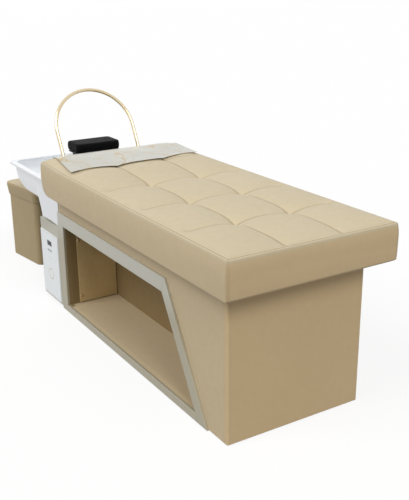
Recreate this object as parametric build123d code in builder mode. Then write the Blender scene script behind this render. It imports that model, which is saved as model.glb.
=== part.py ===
from build123d import *
from math import cos, radians, sin, sqrt
import os

os.makedirs("parts", exist_ok=True)

# Hair washing bed. Millimetres, +Z up, origin on the floor under the middle of the cushion.
# +X runs to the foot end, -X to the basin, and -Y is the near side.

# Allowances shared by all pieces
overrun = 5
panel_thickness = 18
floor_gap = 4
slip_gap = 0.3
pin_clearance = 0.05
edge_break = 1.5

# Cushion
cushion_length = 1515
cushion_width = 700
cushion_underside = 560
cushion_thickness = 142
cell_crown = 20
row_count = 5
column_count = 3
row_seam_drop = 1
side_bulge = 4
side_draw = 3
head_corner_radius = 70
foot_corner_radius = 22
lower_edge_radius = 14
board_thickness = 12
board_inset = 16

# Head sheet
sheet_thickness = 1.5
sheet_near_margin = 37
sheet_far_margin = 48
sheet_seam_gap = 7

# Pedestal
side_overhang = 65
foot_overhang = 94
head_overhang = 29
rib_count = 3
panel_corner_radius = 6
panel_top_gap = 1.6

# Open shelf niche, drawn in side view
shelf_top = 38
niche_drop = 140
niche_setback_top = 416.5
niche_setback_shelf = 191.5
lining_thickness = 16
niche_back_thickness = 12
niche_back_gap = 56

# Service panels on the niche's head wall, and their cap screws
service_panel_thickness = 3.5
service_panel_setback = 51
service_panel_margin = 4
cap_screw_radius = 8
cap_screw_height = 4
cap_screw_shank_radius = 2
cap_screw_shank_length = 9
cap_screw_inset = 9
cap_screw_upper_drop = 74
cap_screw_lower_rise = 34

# Trim frame
trim_proud = 10
post_width = 60
top_bar_width = 58
slope_bar_width = 57
mitre_groove = 0.8

# Floor glides
glide_radius = 15
glide_inset = 22
glide_head_setback = 78
cabinet_floor_gap = 16

# Head cabinet
cabinet_drop = 160
cabinet_drain_margin = 49.5
drain_hole_gap = 5
hose_hole_gap = 4

# White panel with its window and buttons
control_panel_margin = 13.5
control_panel_drop = 54
control_panel_thickness = 3
control_panel_foot = 9
control_panel_corner = 8
window_width = 54
window_height = 25
window_thickness = 2
window_drop = 53
window_gap = 0.2
button_radius = 5
button_travel = 1.2
button_proud = 2
button_skirt_width = 1.5
button_skirt_thickness = 1
button_pitch = 18
button_drop = 88
button_gap = 0.2
button_pocket_gap = 0.5
button_edge = 0.6

# Basin
basin_height = 200
rim_thickness = 14
rim_lip = 30
rim_side_lip = 24
rim_length = 582
rim_width = 600
rim_corner_radius = 30
rim_edge_radius = 5
rim_foot_gap = 3
deck_width = 82
bowl_floor_gap = 52
bowl_wall = 8
bowl_corner_radius = 48
skin = 8
skirt_head_inset = 7
skirt_foot_gap = 7
skirt_side_inset = 10
skirt_flare = 57
skirt_flare_drop = 76
skirt_flare_bow = 9
skirt_step_gap = 15
skirt_arch_rise = 5
apron_lip = 6
# How the bowl closes in as it deepens: depth, draw at the head, draw at each side, draw at the foot
bowl_level_shares = ((0, 0, 0, 0), (0.45, 0.03, 0.006, 0.006), (0.8, 0.15, 0.07, 0.015), (1, 0.3, 0.22, 0.04))

# Drain
drain_setback = 58
drain_body_radius = 28
drain_body_length = 26
drain_flange_width = 8
drain_flange_thickness = 3
drain_floor = 3
drain_nut_thickness = 8
basket_radius = 23
basket_depth = 18
basket_wall = 1.5
basket_lip = 4.5
basket_gap = 0.4
basket_hole_radius = 2.2
basket_hole_count = 8
basket_knob_radius = 3
basket_knob_height = 13
drain_pipe_radius = 20
drain_pipe_wall = 3
drain_pipe_dip = 15

# Arch and its swivels
arch_lean = 28.5
arch_half_width = 195
arch_leg = 199
arch_tube_radius = 8
arch_tube_wall = 1.5
arch_pivot_setback = 55.4
arch_pivot_height = 22
outlet_radius = 1.2
outlet_count = 9
outlet_first_angle = 30
hub_radius = 14
hub_width = 22
hub_collar_radius = 10.5
hub_collar_length = 24
hub_socket_depth = 13
swivel_pin_radius = 5
swivel_pin_bore = 2.5
swivel_pin_head_radius = 8
swivel_pin_head = 3
seal_thickness = 1.5
seal_radius = 9
ear_thickness = 12
ear_radius = 13
bracket_base_thickness = 6
bracket_base_length = 34
barb_radius = 5.5
barb_length = 44
barb_grip = 22

# Neck rest
neck_pad_length = 130
neck_pad_width = 224
neck_pad_height = 46
neck_pad_dip = 3
neck_pad_shoulder = 34
neck_pad_corner_radius = 14
neck_pad_edge_radius = 6
neck_pad_setback = 124.5
neck_plate_thickness = 5
neck_plate_margin = 16
neck_post_radius = 6
neck_post_spacing = 196
neck_post_shift = 13
neck_post_tail = 42
neck_plate_gap = 34
sleeve_radius = 11
sleeve_height = 52
arm_width = 22
arm_thickness = 8
arm_plate_length = 30
arm_plate_overhang = 12
arm_plate_setback = 18

# Clamp knobs
knob_radius = 12
knob_thickness = 13
knob_gap = 2
knob_screw_radius = 3
knob_height = 30
knob_grip_count = 8
knob_grip_radius = 2

# Water parts inside the cabinet
tank_foot_gap = 47.5
tank_lid_gap = 37
tank_wall = 4
tank_lid_thickness = 5
tank_lid_lap = 3
tank_head_gap = 6
pump_radius = 38
pump_length = 82
volute_radius = 46
volute_length = 30
pump_tank_gap = 35
pump_side_gap = 15
pump_outlet_gap = 6
pump_foot_width = 50
pump_port_radius = 8
pump_port_length = 14
heater_radius = 24
heater_drop = 52
heater_wall_gap = 10
heater_feed_shift = 30
heater_port_radius = 6
heater_port_inset = 15
heater_port_length = 8
heater_clip_width = 18
heater_clip_spacing = 150
heater_clip_band = 3
heater_clip_height = 28
hose_wall = 2
hose_bend_radius = 38
feed_bend_radius = 26
feed_rise_share = 0.38
control_box_margin = 11
control_box_height = 90
control_box_depth = 32
control_box_lift = 150

# Service connections on the cabinet's far side
connection_flange_width = 8
connection_flange_thickness = 4
water_inlet_radius = 10.5
water_inlet_wall = 3
water_inlet_length = 16
water_inlet_drop = 54
water_inlet_setback = 52
drain_outlet_radius = 20
drain_outlet_wall = 3
drain_outlet_length = 34
drain_outlet_height = 72
drain_outlet_setback = 28
cord_gland_radius = 10
cord_gland_bore = 4
cord_gland_length = 14
cord_gland_height = 210
cord_gland_setback = 40

# Stool
stool_setback = 756.5
stool_shift = 12
stool_turn = 8
stool_length = 310
stool_width = 380
stool_height = 348
stool_corner_radius = 32
stool_wall = 12
stool_foot_inset = 40
lid_overhang = 11
lid_pad_height = 76
lid_board_thickness = 12
lid_batten_depth = 10
lid_batten_thickness = 9
lid_batten_gap = 2
# The lid pad's swelling form: height, and how far each side stands out
lid_level_shares = ((0, 0.96), (0.35, 0.975), (0.8, 1), (0.95, 0.985), (1, 0.92))

# Places worked out from the sizes
cushion_head = -cushion_length / 2
cushion_foot = cushion_length / 2
half_width = cushion_width / 2
seam_head = cushion_head + side_bulge
seam_foot = cushion_foot - side_bulge
seam_side = half_width - side_bulge
column_seam_height = cushion_underside + cushion_thickness
row_seam_height = column_seam_height - row_seam_drop
row_pitch = (seam_foot - seam_head) / row_count
pedestal_head = cushion_head + head_overhang
pedestal_foot = cushion_foot - foot_overhang
pedestal_half = half_width - side_overhang
board_end = pedestal_foot - panel_thickness
inner_half = pedestal_half - panel_thickness
deck_underside = cushion_underside - panel_thickness
panel_top = cushion_underside - panel_top_gap
trim_face = pedestal_half + trim_proud
niche_top = cushion_underside - niche_drop
trim_top = niche_top + top_bar_width
niche_head = pedestal_head + post_width
niche_corner_top = pedestal_foot - niche_setback_top
niche_corner_shelf = pedestal_foot - niche_setback_shelf
slope_run = (niche_corner_shelf - niche_corner_top) / (niche_top - shelf_top)
ceiling_top = niche_top + lining_thickness
back_face = niche_back_gap / 2 + niche_back_thickness
cabinet_height = cushion_underside - cabinet_drop
rim_foot = cushion_head - rim_foot_gap
rim_head = rim_foot - rim_length
rim_half = rim_width / 2
rim_top = cabinet_height + basin_height
rim_underside = rim_top - rim_thickness
bowl_foot = rim_foot - deck_width
bowl_head = rim_head + rim_lip
bowl_half = rim_half - rim_side_lip
bowl_floor = cabinet_height + bowl_floor_gap
drain_x = bowl_foot - drain_setback
cabinet_head = drain_x - cabinet_drain_margin
cabinet_length = pedestal_head - cabinet_head
cabinet_inner_head = cabinet_head + panel_thickness
cabinet_inner_half = trim_face - panel_thickness
cabinet_floor = cabinet_floor_gap + panel_thickness
cabinet_deck_underside = cabinet_height - panel_thickness
control_panel_width = cabinet_length - control_panel_margin
control_panel_x = cabinet_head + control_panel_width / 2
control_panel_top = cabinet_height - control_panel_drop
control_panel_low = cabinet_floor_gap + control_panel_foot
window_z = control_panel_top - window_drop
button_z = control_panel_top - button_drop
button_names = ("button_less", "button_power", "button_more")
skirt_half = trim_face - skirt_side_inset
skirt_head = cabinet_head + skirt_head_inset
skirt_foot = pedestal_head - skirt_foot_gap
skirt_step = cushion_underside - skirt_step_gap
flare_head = skirt_head - skirt_flare
flare_top = rim_underside - skirt_flare_drop
pivot_x = cushion_head - arch_pivot_setback
pivot_z = rim_top + arch_pivot_height
ear_inner_y = arch_half_width - hub_width / 2 - seal_thickness - pin_clearance * 2
ear_outer_y = arch_half_width + hub_width / 2 + seal_thickness + pin_clearance * 2
barb_y = ear_inner_y - ear_thickness / 2
hose_radius = barb_radius + hose_wall
neck_x = cushion_head - neck_pad_setback - neck_pad_length / 2
neck_post_x = neck_x - neck_post_shift
neck_post_y = neck_post_spacing / 2
neck_post_foot = rim_top - neck_post_tail
neck_plate_underside = rim_top + sleeve_height + neck_plate_gap
neck_pad_underside = neck_plate_underside + neck_plate_thickness
drain_outlet_x = cabinet_inner_head + drain_outlet_setback
pump_x = drain_outlet_x + drain_outlet_radius + pump_outlet_gap + volute_radius
pump_y = cabinet_inner_half - pump_side_gap - pump_length - volute_length
pump_z = cabinet_floor + volute_radius
heater_x = pedestal_head - heater_wall_gap - heater_radius
heater_height = cabinet_deck_underside - heater_drop
heater_feed_y = pump_y + volute_length / 2 - heater_feed_shift
heater_length = (heater_feed_y + heater_port_inset) * 2
tank_head = cabinet_inner_head + tank_head_gap
tank_foot = pedestal_head - tank_foot_gap
tank_side = pump_y - pump_tank_gap
tank_top = heater_height - heater_radius - tank_lid_gap - tank_lid_thickness
water_inlet_x = cabinet_inner_head + water_inlet_setback
water_inlet_height = tank_top - water_inlet_drop
cord_gland_x = pedestal_head - cord_gland_setback
sides = (-1, 1)


def slope_x(height):
    # The niche's slanting end runs towards the foot as it goes down
    return niche_corner_shelf - slope_run * (height - shelf_top)


def finish(piece, name):
    piece.part.label = name
    export_step(piece.part, f"parts/{name}.step")


def board(name, x_range, y_range, z_range):
    # A flat board between its lowest and highest corners
    with BuildPart() as piece:
        with BuildSketch(Plane.XY.offset(z_range[0])):
            with Locations(((x_range[0] + x_range[1]) / 2, (y_range[0] + y_range[1]) / 2)):
                Rectangle(x_range[1] - x_range[0], y_range[1] - y_range[0])
        extrude(amount=z_range[1] - z_range[0])
    finish(piece, name)


def side_view_plate(name, outline, y_range):
    # A plate whose outline is drawn in side view
    with BuildPart() as piece:
        with BuildSketch(Plane.XZ.offset(-y_range[1])):
            with BuildLine():
                Polyline(*outline, close=True)
            make_face()
        extrude(amount=y_range[1] - y_range[0])
    finish(piece, name)
    return piece


def mirrored(name, source):
    # The far side's copy of a near side piece
    with BuildPart() as piece:
        add(mirror(source.part, about=Plane.XZ, mode=Mode.PRIVATE))
    finish(piece, name)


def crowned_edge(start, end, height, count):
    # A row of crowned cells, seam to seam
    pitch = (end - start) / count
    for cell in range(count):
        left = start + cell * pitch
        ThreePointArc((left, height), (left + pitch / 2, height + cell_crown), (left + pitch, height))


def bulging_end(seam, end, seam_height):
    # An end wall that bulges between its seam and the cushion's underside
    middle = (cushion_underside + seam_height) / 2
    ThreePointArc((seam, seam_height), (end, middle), (seam, cushion_underside))


# Mattress board, let into the cushion's underside
board_head = cushion_head + head_corner_radius + board_inset
board_foot = cushion_foot - foot_corner_radius - board_inset
board_half = half_width - lower_edge_radius - board_inset
board_top = cushion_underside + board_thickness
board("mattress_board", (board_head, board_foot), (-board_half, board_half), (cushion_underside, board_top))

# Mattress: crowned cells over the top, drawn-in sides and a round lower corner at the head end
with BuildPart() as mattress:
    with BuildSketch(Plane.XZ) as long_section:
        with BuildLine():
            crowned_edge(seam_head, seam_foot, row_seam_height, row_count)
            bulging_end(seam_foot, cushion_foot, row_seam_height)
            Line((seam_foot, cushion_underside), (seam_head, cushion_underside))
            bulging_end(seam_head, cushion_head, row_seam_height)
        make_face()
        fillet(long_section.vertices().group_by(Axis.Y)[0].sort_by(Axis.X)[0], radius=head_corner_radius)
        fillet(long_section.vertices().group_by(Axis.Y)[0].sort_by(Axis.X)[-1], radius=foot_corner_radius)
    extrude(amount=half_width, both=True)
    with BuildSketch(Plane.YZ) as cross_section:
        with BuildLine():
            crowned_edge(-seam_side, seam_side, column_seam_height, column_count)
            bulging_end(seam_side, half_width, column_seam_height)
            Line((seam_side, cushion_underside), (-seam_side, cushion_underside))
            bulging_end(-seam_side, -half_width, column_seam_height)
        make_face()
        fillet(cross_section.vertices().group_by(Axis.Y)[0], radius=lower_edge_radius)
    extrude(amount=cushion_length, both=True, mode=Mode.INTERSECT)
    with BuildSketch(Plane.XY.offset(cushion_underside)):
        with BuildLine():
            Line((cushion_head, -half_width), (cushion_head, half_width))
            ThreePointArc((cushion_head, half_width), (0, half_width - side_draw),
                          (cushion_foot, half_width))
            ThreePointArc((cushion_foot, half_width), (cushion_foot - side_draw, 0),
                          (cushion_foot, -half_width))
            ThreePointArc((cushion_foot, -half_width), (0, side_draw - half_width),
                          (cushion_head, -half_width))
        make_face()
    extrude(amount=cushion_thickness + cell_crown + overrun, mode=Mode.INTERSECT)
    with BuildSketch(Plane.XY.offset(cushion_underside)):
        with Locations(((board_head + board_foot) / 2, 0)):
            Rectangle(board_foot - board_head, board_half * 2)
    extrude(amount=board_thickness, mode=Mode.SUBTRACT)
finish(mattress, "mattress")

# Wipe-clean sheet over the head row of cells, following their crown
crown_x = seam_head + row_pitch / 2
crown_radius = ((row_pitch / 2) ** 2 + cell_crown ** 2) / (cell_crown * 2)
crown_centre = row_seam_height + cell_crown - crown_radius
sheet_foot = seam_head + row_pitch - sheet_seam_gap


def crown_height(x, level):
    return crown_centre + sqrt((crown_radius + level) ** 2 - (x - crown_x) ** 2)


with BuildPart() as head_sheet:
    with BuildSketch(Plane.XZ.offset(half_width - sheet_near_margin)):
        with BuildLine():
            for level in (slip_gap, slip_gap + sheet_thickness):
                ends = [(x, crown_height(x, level)) for x in (seam_head, sheet_foot)]
                ThreePointArc(ends[0], (crown_x, crown_height(crown_x, level)), ends[1])
            for x in (seam_head, sheet_foot):
                Line((x, crown_height(x, slip_gap)), (x, crown_height(x, slip_gap + sheet_thickness)))
        make_face()
    extrude(amount=sheet_near_margin + sheet_far_margin - cushion_width)
finish(head_sheet, "head_sheet")

# Pedestal boards
board("base_board", (pedestal_head, board_end), (-inner_half, inner_half), (floor_gap, shelf_top))
board("top_deck", (pedestal_head, board_end), (-inner_half, inner_half), (deck_underside, cushion_underside))
board("head_bulkhead", (pedestal_head, pedestal_head + panel_thickness), (-inner_half, inner_half),
      (shelf_top, deck_underside))
with BuildPart() as foot_panel:
    with BuildSketch(Plane.XY.offset(floor_gap)) as panel_outline:
        with Locations((pedestal_foot - panel_thickness / 2, 0)):
            Rectangle(panel_thickness, pedestal_half * 2)
        fillet(panel_outline.vertices().group_by(Axis.X)[-1], radius=panel_corner_radius)
    extrude(amount=panel_top - floor_gap)
finish(foot_panel, "foot_panel")

# Leather side panels, cut out round the niche
niche_outline = ((niche_head, shelf_top), (niche_corner_shelf, shelf_top), (niche_corner_top, niche_top),
                 (niche_head, niche_top))
with BuildPart() as side_panel_near:
    with BuildSketch(Plane.XZ.offset(inner_half)):
        with BuildLine():
            Polyline((pedestal_head, floor_gap), (board_end, floor_gap), (board_end, panel_top),
                     (pedestal_head, panel_top), close=True)
        make_face()
        with BuildLine():
            Polyline(*niche_outline, close=True)
        make_face(mode=Mode.SUBTRACT)
    extrude(amount=panel_thickness)
finish(side_panel_near, "side_panel_near")
mirrored("side_panel_far", side_panel_near)

# Niche lining: ceiling, slanting end, and a back board on each side of a closed gap
slope_board_run = lining_thickness * sqrt(1 + slope_run ** 2)
side_view_plate("niche_ceiling", ((niche_head, niche_top), (niche_corner_top, niche_top),
                                  (slope_x(ceiling_top), ceiling_top), (niche_head, ceiling_top)),
                (-inner_half, inner_half))
side_view_plate("niche_slope",
                ((niche_corner_shelf, shelf_top), (niche_corner_shelf + slope_board_run, shelf_top),
                 (slope_x(ceiling_top) + slope_board_run, ceiling_top),
                 (slope_x(ceiling_top), ceiling_top)), (-inner_half, inner_half))
niche_back_near = side_view_plate("niche_back_near", niche_outline, (-back_face, -niche_back_gap / 2))
mirrored("niche_back_far", niche_back_near)

# Ribs that carry the deck over the niche
with BuildPart() as deck_ribs:
    with BuildSketch(Plane.XY.offset(ceiling_top)):
        rib_pitch = (slope_x(ceiling_top) - niche_head) / rib_count
        with Locations(((slope_x(ceiling_top) + niche_head) / 2, 0)):
            with GridLocations(rib_pitch, 0, rib_count, 1):
                Rectangle(panel_thickness, inner_half * 2)
    extrude(amount=deck_underside - ceiling_top)
finish(deck_ribs, "deck_ribs")

# Head wall of the niche, drilled for the service panels' cap screws
panel_front = pedestal_half - service_panel_setback
screw_y = panel_front - cap_screw_inset
screw_heights = (shelf_top + cap_screw_lower_rise, niche_top - cap_screw_upper_drop)
screw_face = niche_head + service_panel_thickness
screw_places = [(side * screw_y, height) for side in sides for height in screw_heights]
with BuildPart() as niche_head_wall:
    with BuildSketch(Plane.YZ.offset(niche_head)):
        with Locations((0, (shelf_top + ceiling_top) / 2)):
            Rectangle(inner_half * 2, ceiling_top - shelf_top)
    extrude(amount=-lining_thickness)
    with BuildSketch(Plane.YZ.offset(niche_head)):
        with Locations(*screw_places):
            Circle(cap_screw_shank_radius + pin_clearance)
    extrude(amount=-cap_screw_shank_length, mode=Mode.SUBTRACT)
finish(niche_head_wall, "niche_head_wall")

# Service panels and cap screws
with BuildPart() as service_panel_near:
    with BuildSketch(Plane.YZ.offset(niche_head)):
        panel_back = back_face + service_panel_margin
        with Locations((-(panel_front + panel_back) / 2, (shelf_top + niche_top) / 2)):
            Rectangle(panel_front - panel_back, niche_top - shelf_top - service_panel_margin * 2)
        with Locations(*screw_places[:len(screw_heights)]):
            Circle(cap_screw_shank_radius + pin_clearance, mode=Mode.SUBTRACT)
    extrude(amount=service_panel_thickness)
finish(service_panel_near, "service_panel_near")
mirrored("service_panel_far", service_panel_near)
with BuildPart() as cap_screws:
    with BuildSketch(Plane.YZ.offset(screw_face)):
        with Locations(*screw_places):
            Circle(cap_screw_radius)
    extrude(amount=cap_screw_height)
    fillet(cap_screws.edges().group_by(Axis.X)[-1], radius=cap_screw_height / 2)
    with BuildSketch(Plane.YZ.offset(screw_face)):
        with Locations(*screw_places):
            Circle(cap_screw_shank_radius)
    extrude(amount=-cap_screw_shank_length)
finish(cap_screws, "cap_screws")

# Metal trim round each niche: one welded frame with fine grooves at its mitres
outer_corner_top = slope_x(trim_top) + slope_bar_width
slope_low = slope_x(floor_gap)
trim_outline = ((pedestal_head, floor_gap), (slope_low + slope_bar_width, floor_gap),
                (outer_corner_top, trim_top), (pedestal_head, trim_top))
trim_mitres = (((niche_head, niche_top), (pedestal_head, trim_top)),
               ((niche_corner_top, niche_top), (outer_corner_top, trim_top)),
               ((niche_corner_shelf, shelf_top), (slope_low, floor_gap)))
with BuildPart() as trim_frame_near:
    with BuildSketch(Plane.XZ.offset(pedestal_half)):
        with BuildLine():
            Polyline(*trim_outline, close=True)
        make_face()
        with BuildLine():
            Polyline(*niche_outline, close=True)
        make_face(mode=Mode.SUBTRACT)
    extrude(amount=trim_proud)
    chamfer(trim_frame_near.faces().sort_by(Axis.Y)[0].edges(), length=edge_break)
    for inner_end, outer_end in trim_mitres:
        with BuildSketch(Plane.XZ.offset(trim_face)):
            with BuildLine():
                Polyline(inner_end, outer_end, (outer_end[0] + mitre_groove, outer_end[1]),
                         (inner_end[0] + mitre_groove, inner_end[1]), close=True)
            make_face()
        extrude(amount=-mitre_groove, mode=Mode.SUBTRACT)
finish(trim_frame_near, "trim_frame_near")
mirrored("trim_frame_far", trim_frame_near)

# Floor glides under the pedestal and the cabinet
glide_y = pedestal_half - glide_inset
with BuildPart() as floor_glides:
    with BuildSketch():
        for x in (pedestal_head + glide_head_setback, 0, pedestal_foot - glide_inset):
            with Locations((x, -glide_y), (x, 0), (x, glide_y)):
                Circle(glide_radius)
    extrude(amount=floor_gap)
    with BuildSketch():
        for x in (cabinet_head + glide_inset, pedestal_head - glide_inset):
            with Locations((x, -glide_y), (x, glide_y)):
                Circle(glide_radius)
    extrude(amount=cabinet_floor_gap)
finish(floor_glides, "floor_glides")

# Head cabinet
button_places = [((index - 1) * button_pitch, name) for index, name in enumerate(button_names)]
button_xs = [control_panel_x + shift for shift, name in button_places]
button_pocket_radius = button_radius + button_skirt_width + button_pocket_gap
button_pocket_depth = button_skirt_thickness + button_travel + button_pocket_gap
with BuildPart() as cabinet_side_near:
    with BuildSketch(Plane.XZ.offset(cabinet_inner_half)):
        with Locations(((cabinet_head + pedestal_head) / 2, (cabinet_floor_gap + cabinet_height) / 2)):
            Rectangle(cabinet_length, cabinet_height - cabinet_floor_gap)
    extrude(amount=panel_thickness)
    with BuildSketch(Plane.XZ.offset(trim_face)):
        with Locations(*[(x, button_z) for x in button_xs]):
            Circle(button_pocket_radius)
    extrude(amount=-button_pocket_depth, mode=Mode.SUBTRACT)
finish(cabinet_side_near, "cabinet_side_near")
with BuildPart() as cabinet_side_far:
    with BuildSketch(Plane.XZ.offset(-trim_face)):
        with Locations(((cabinet_head + pedestal_head) / 2, (cabinet_floor_gap + cabinet_height) / 2)):
            Rectangle(cabinet_length, cabinet_height - cabinet_floor_gap)
        with Locations((water_inlet_x, water_inlet_height)):
            Circle(water_inlet_radius + pin_clearance, mode=Mode.SUBTRACT)
        with Locations((drain_outlet_x, drain_outlet_height)):
            Circle(drain_outlet_radius + pin_clearance, mode=Mode.SUBTRACT)
        with Locations((cord_gland_x, cord_gland_height)):
            Circle(cord_gland_radius + pin_clearance, mode=Mode.SUBTRACT)
    extrude(amount=panel_thickness)
finish(cabinet_side_far, "cabinet_side_far")
board("cabinet_base", (cabinet_inner_head, pedestal_head), (-cabinet_inner_half, cabinet_inner_half),
      (cabinet_floor_gap, cabinet_floor))
with BuildPart() as cabinet_top:
    with BuildSketch(Plane.XY.offset(cabinet_deck_underside)):
        with Locations(((cabinet_inner_head + pedestal_head) / 2, 0)):
            Rectangle(pedestal_head - cabinet_inner_head, cabinet_inner_half * 2)
        with Locations((drain_x, 0)):
            Circle(drain_pipe_radius + drain_hole_gap, mode=Mode.SUBTRACT)
        with Locations((pivot_x, -barb_y), (pivot_x, barb_y)):
            Circle(hose_radius + hose_hole_gap, mode=Mode.SUBTRACT)
    extrude(amount=panel_thickness)
finish(cabinet_top, "cabinet_top")
board("cabinet_end", (cabinet_head, cabinet_inner_head), (-cabinet_inner_half, cabinet_inner_half),
      (cabinet_floor_gap, cabinet_height))

# White panel with a dark window and three push-buttons
with BuildPart() as control_panel:
    with BuildSketch(Plane.XZ.offset(trim_face)):
        with Locations((control_panel_x, (control_panel_low + control_panel_top) / 2)):
            RectangleRounded(control_panel_width, control_panel_top - control_panel_low, control_panel_corner)
        with Locations((control_panel_x, window_z)):
            Rectangle(window_width, window_height, mode=Mode.SUBTRACT)
        with Locations(*[(x, button_z) for x in button_xs]):
            Circle(button_radius + button_gap, mode=Mode.SUBTRACT)
    extrude(amount=control_panel_thickness)
finish(control_panel, "control_panel")
with BuildPart() as display_window:
    with BuildSketch(Plane.XZ.offset(trim_face)):
        with Locations((control_panel_x, window_z)):
            Rectangle(window_width - window_gap * 2, window_height - window_gap * 2)
    extrude(amount=window_thickness)
finish(display_window, "display_window")
for shift, button_name in button_places:
    with BuildPart() as button:
        with BuildSketch(Plane.XZ.offset(trim_face - pin_clearance)):
            with Locations((control_panel_x + shift, button_z)):
                Circle(button_radius)
        extrude(amount=control_panel_thickness + button_proud + pin_clearance)
        fillet(button.edges().group_by(Axis.Y)[0], radius=button_edge)
        with BuildSketch(Plane.XZ.offset(trim_face - pin_clearance)):
            with Locations((control_panel_x + shift, button_z)):
                Circle(button_radius + button_skirt_width)
        extrude(amount=-button_skirt_thickness)
    finish(button, button_name)


def bowl_form(top, bottom, wall):
    # The bowl's outlines from its mouth down, grown by a wall
    length = bowl_foot - bowl_head
    outlines = []
    for depth_share, head_share, side_share, foot_share in bowl_level_shares:
        head = bowl_head - wall + length * head_share
        foot = bowl_foot + wall - length * foot_share
        width = (bowl_half + wall) * 2 - bowl_half * side_share * 2
        with BuildSketch(Plane.XY.offset(top - (top - bottom) * depth_share)) as outline:
            with Locations(((head + foot) / 2, 0)):
                RectangleRounded(foot - head, width, bowl_corner_radius + wall)
        outlines.append(outline.sketch.face())
    return outlines


# Basin: a hollow skirt that stands on the cabinet, the bowl, and a flat rim that widens to a deck
skirt_outline = ((skirt_head, cabinet_height), (skirt_foot, cabinet_height), (skirt_foot, skirt_step),
                 (rim_foot - apron_lip, skirt_step), (rim_foot - apron_lip, rim_underside),
                 (flare_head, rim_underside), (flare_head, flare_top))
flare_middle = ((skirt_head + flare_head) / 2 + skirt_flare_bow, (cabinet_height + flare_top) / 2)
with BuildPart() as basin_shell:
    with BuildSketch(Plane.XZ) as skirt_section:
        with BuildLine():
            Polyline(*skirt_outline)
            ThreePointArc(skirt_outline[-1], flare_middle, skirt_outline[0])
        make_face()
    extrude(amount=skirt_half, both=True)
    with BuildSketch(Plane.XZ):
        add(skirt_section.sketch_local)
        offset(amount=-skin)
    extrude(amount=skirt_half - skin, both=True, mode=Mode.SUBTRACT)
    with BuildSketch(Plane.XY.offset(cabinet_height)):
        with Locations(((skirt_head + skirt_foot) / 2, 0)):
            Rectangle(skirt_foot - skirt_head - skin * 2, (skirt_half - skin) * 2)
    extrude(amount=skin + overrun, mode=Mode.SUBTRACT)
    with BuildSketch(Plane.XZ):
        with BuildLine():
            ThreePointArc((skirt_head + skin, cabinet_height),
                          ((skirt_head + skirt_foot) / 2, cabinet_height + skirt_arch_rise),
                          (skirt_foot - skin, cabinet_height))
            Line((skirt_foot - skin, cabinet_height), (skirt_head + skin, cabinet_height))
        make_face()
    extrude(amount=skirt_half + overrun, both=True, mode=Mode.SUBTRACT)
    loft(bowl_form(rim_underside + rim_thickness / 2, bowl_floor - bowl_wall, bowl_wall))
    with BuildSketch(Plane.XY.offset(rim_underside)):
        with Locations(((rim_head + rim_foot) / 2, 0)):
            RectangleRounded(rim_length, rim_width, rim_corner_radius)
    extrude(amount=rim_thickness)
    fillet(basin_shell.faces().sort_by(Axis.Z)[-1].outer_wire().edges(), radius=rim_edge_radius)
    loft(bowl_form(rim_top, bowl_floor, 0), mode=Mode.SUBTRACT)
    with BuildSketch(Plane.XY.offset(bowl_floor + overrun)):
        with Locations((drain_x, 0)):
            Circle(drain_body_radius + pin_clearance)
    extrude(amount=-(bowl_wall + overrun * 2), mode=Mode.SUBTRACT)
    with BuildSketch(Plane.XY.offset(rim_top)):
        with Locations((pivot_x, -barb_y), (pivot_x, barb_y)):
            Circle(barb_radius + pin_clearance)
    extrude(amount=-(rim_thickness + skin + overrun), mode=Mode.SUBTRACT)
finish(basin_shell, "basin_shell")

# Drain flange, its nut under the bowl, the strainer basket and the pipe to the tank
flange_top = bowl_floor + drain_flange_thickness
flange_low = bowl_floor - drain_body_length
basket_seat = flange_top - basket_wall
with BuildPart() as drain_flange:
    with BuildSketch(Plane.XY.offset(bowl_floor)):
        with Locations((drain_x, 0)):
            Circle(drain_body_radius + drain_flange_width)
    extrude(amount=drain_flange_thickness)
    fillet(drain_flange.edges().group_by(Axis.Z)[-1], radius=drain_flange_thickness / 3)
    with BuildSketch(Plane.XY.offset(bowl_floor)):
        with Locations((drain_x, 0)):
            Circle(drain_body_radius)
    extrude(amount=-drain_body_length)
    with BuildSketch(Plane.XY.offset(flange_top)):
        with Locations((drain_x, 0)):
            Circle(basket_radius + basket_lip + basket_gap)
    extrude(amount=-basket_wall, mode=Mode.SUBTRACT)
    with BuildSketch(Plane.XY.offset(flange_top)):
        with Locations((drain_x, 0)):
            Circle(basket_radius + basket_gap)
    extrude(amount=-(flange_top - flange_low - drain_floor), mode=Mode.SUBTRACT)
    with BuildSketch(Plane.XY.offset(flange_low)):
        with Locations((drain_x, 0)):
            Circle(drain_pipe_radius - drain_pipe_wall)
    extrude(amount=drain_floor, mode=Mode.SUBTRACT)
finish(drain_flange, "drain_flange")
with BuildPart() as drain_nut:
    with BuildSketch(Plane.XY.offset(bowl_floor - bowl_wall)):
        with Locations((drain_x, 0)):
            Circle(drain_body_radius + drain_flange_width)
            Circle(drain_body_radius + pin_clearance, mode=Mode.SUBTRACT)
    extrude(amount=-drain_nut_thickness)
finish(drain_nut, "drain_nut")
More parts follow.
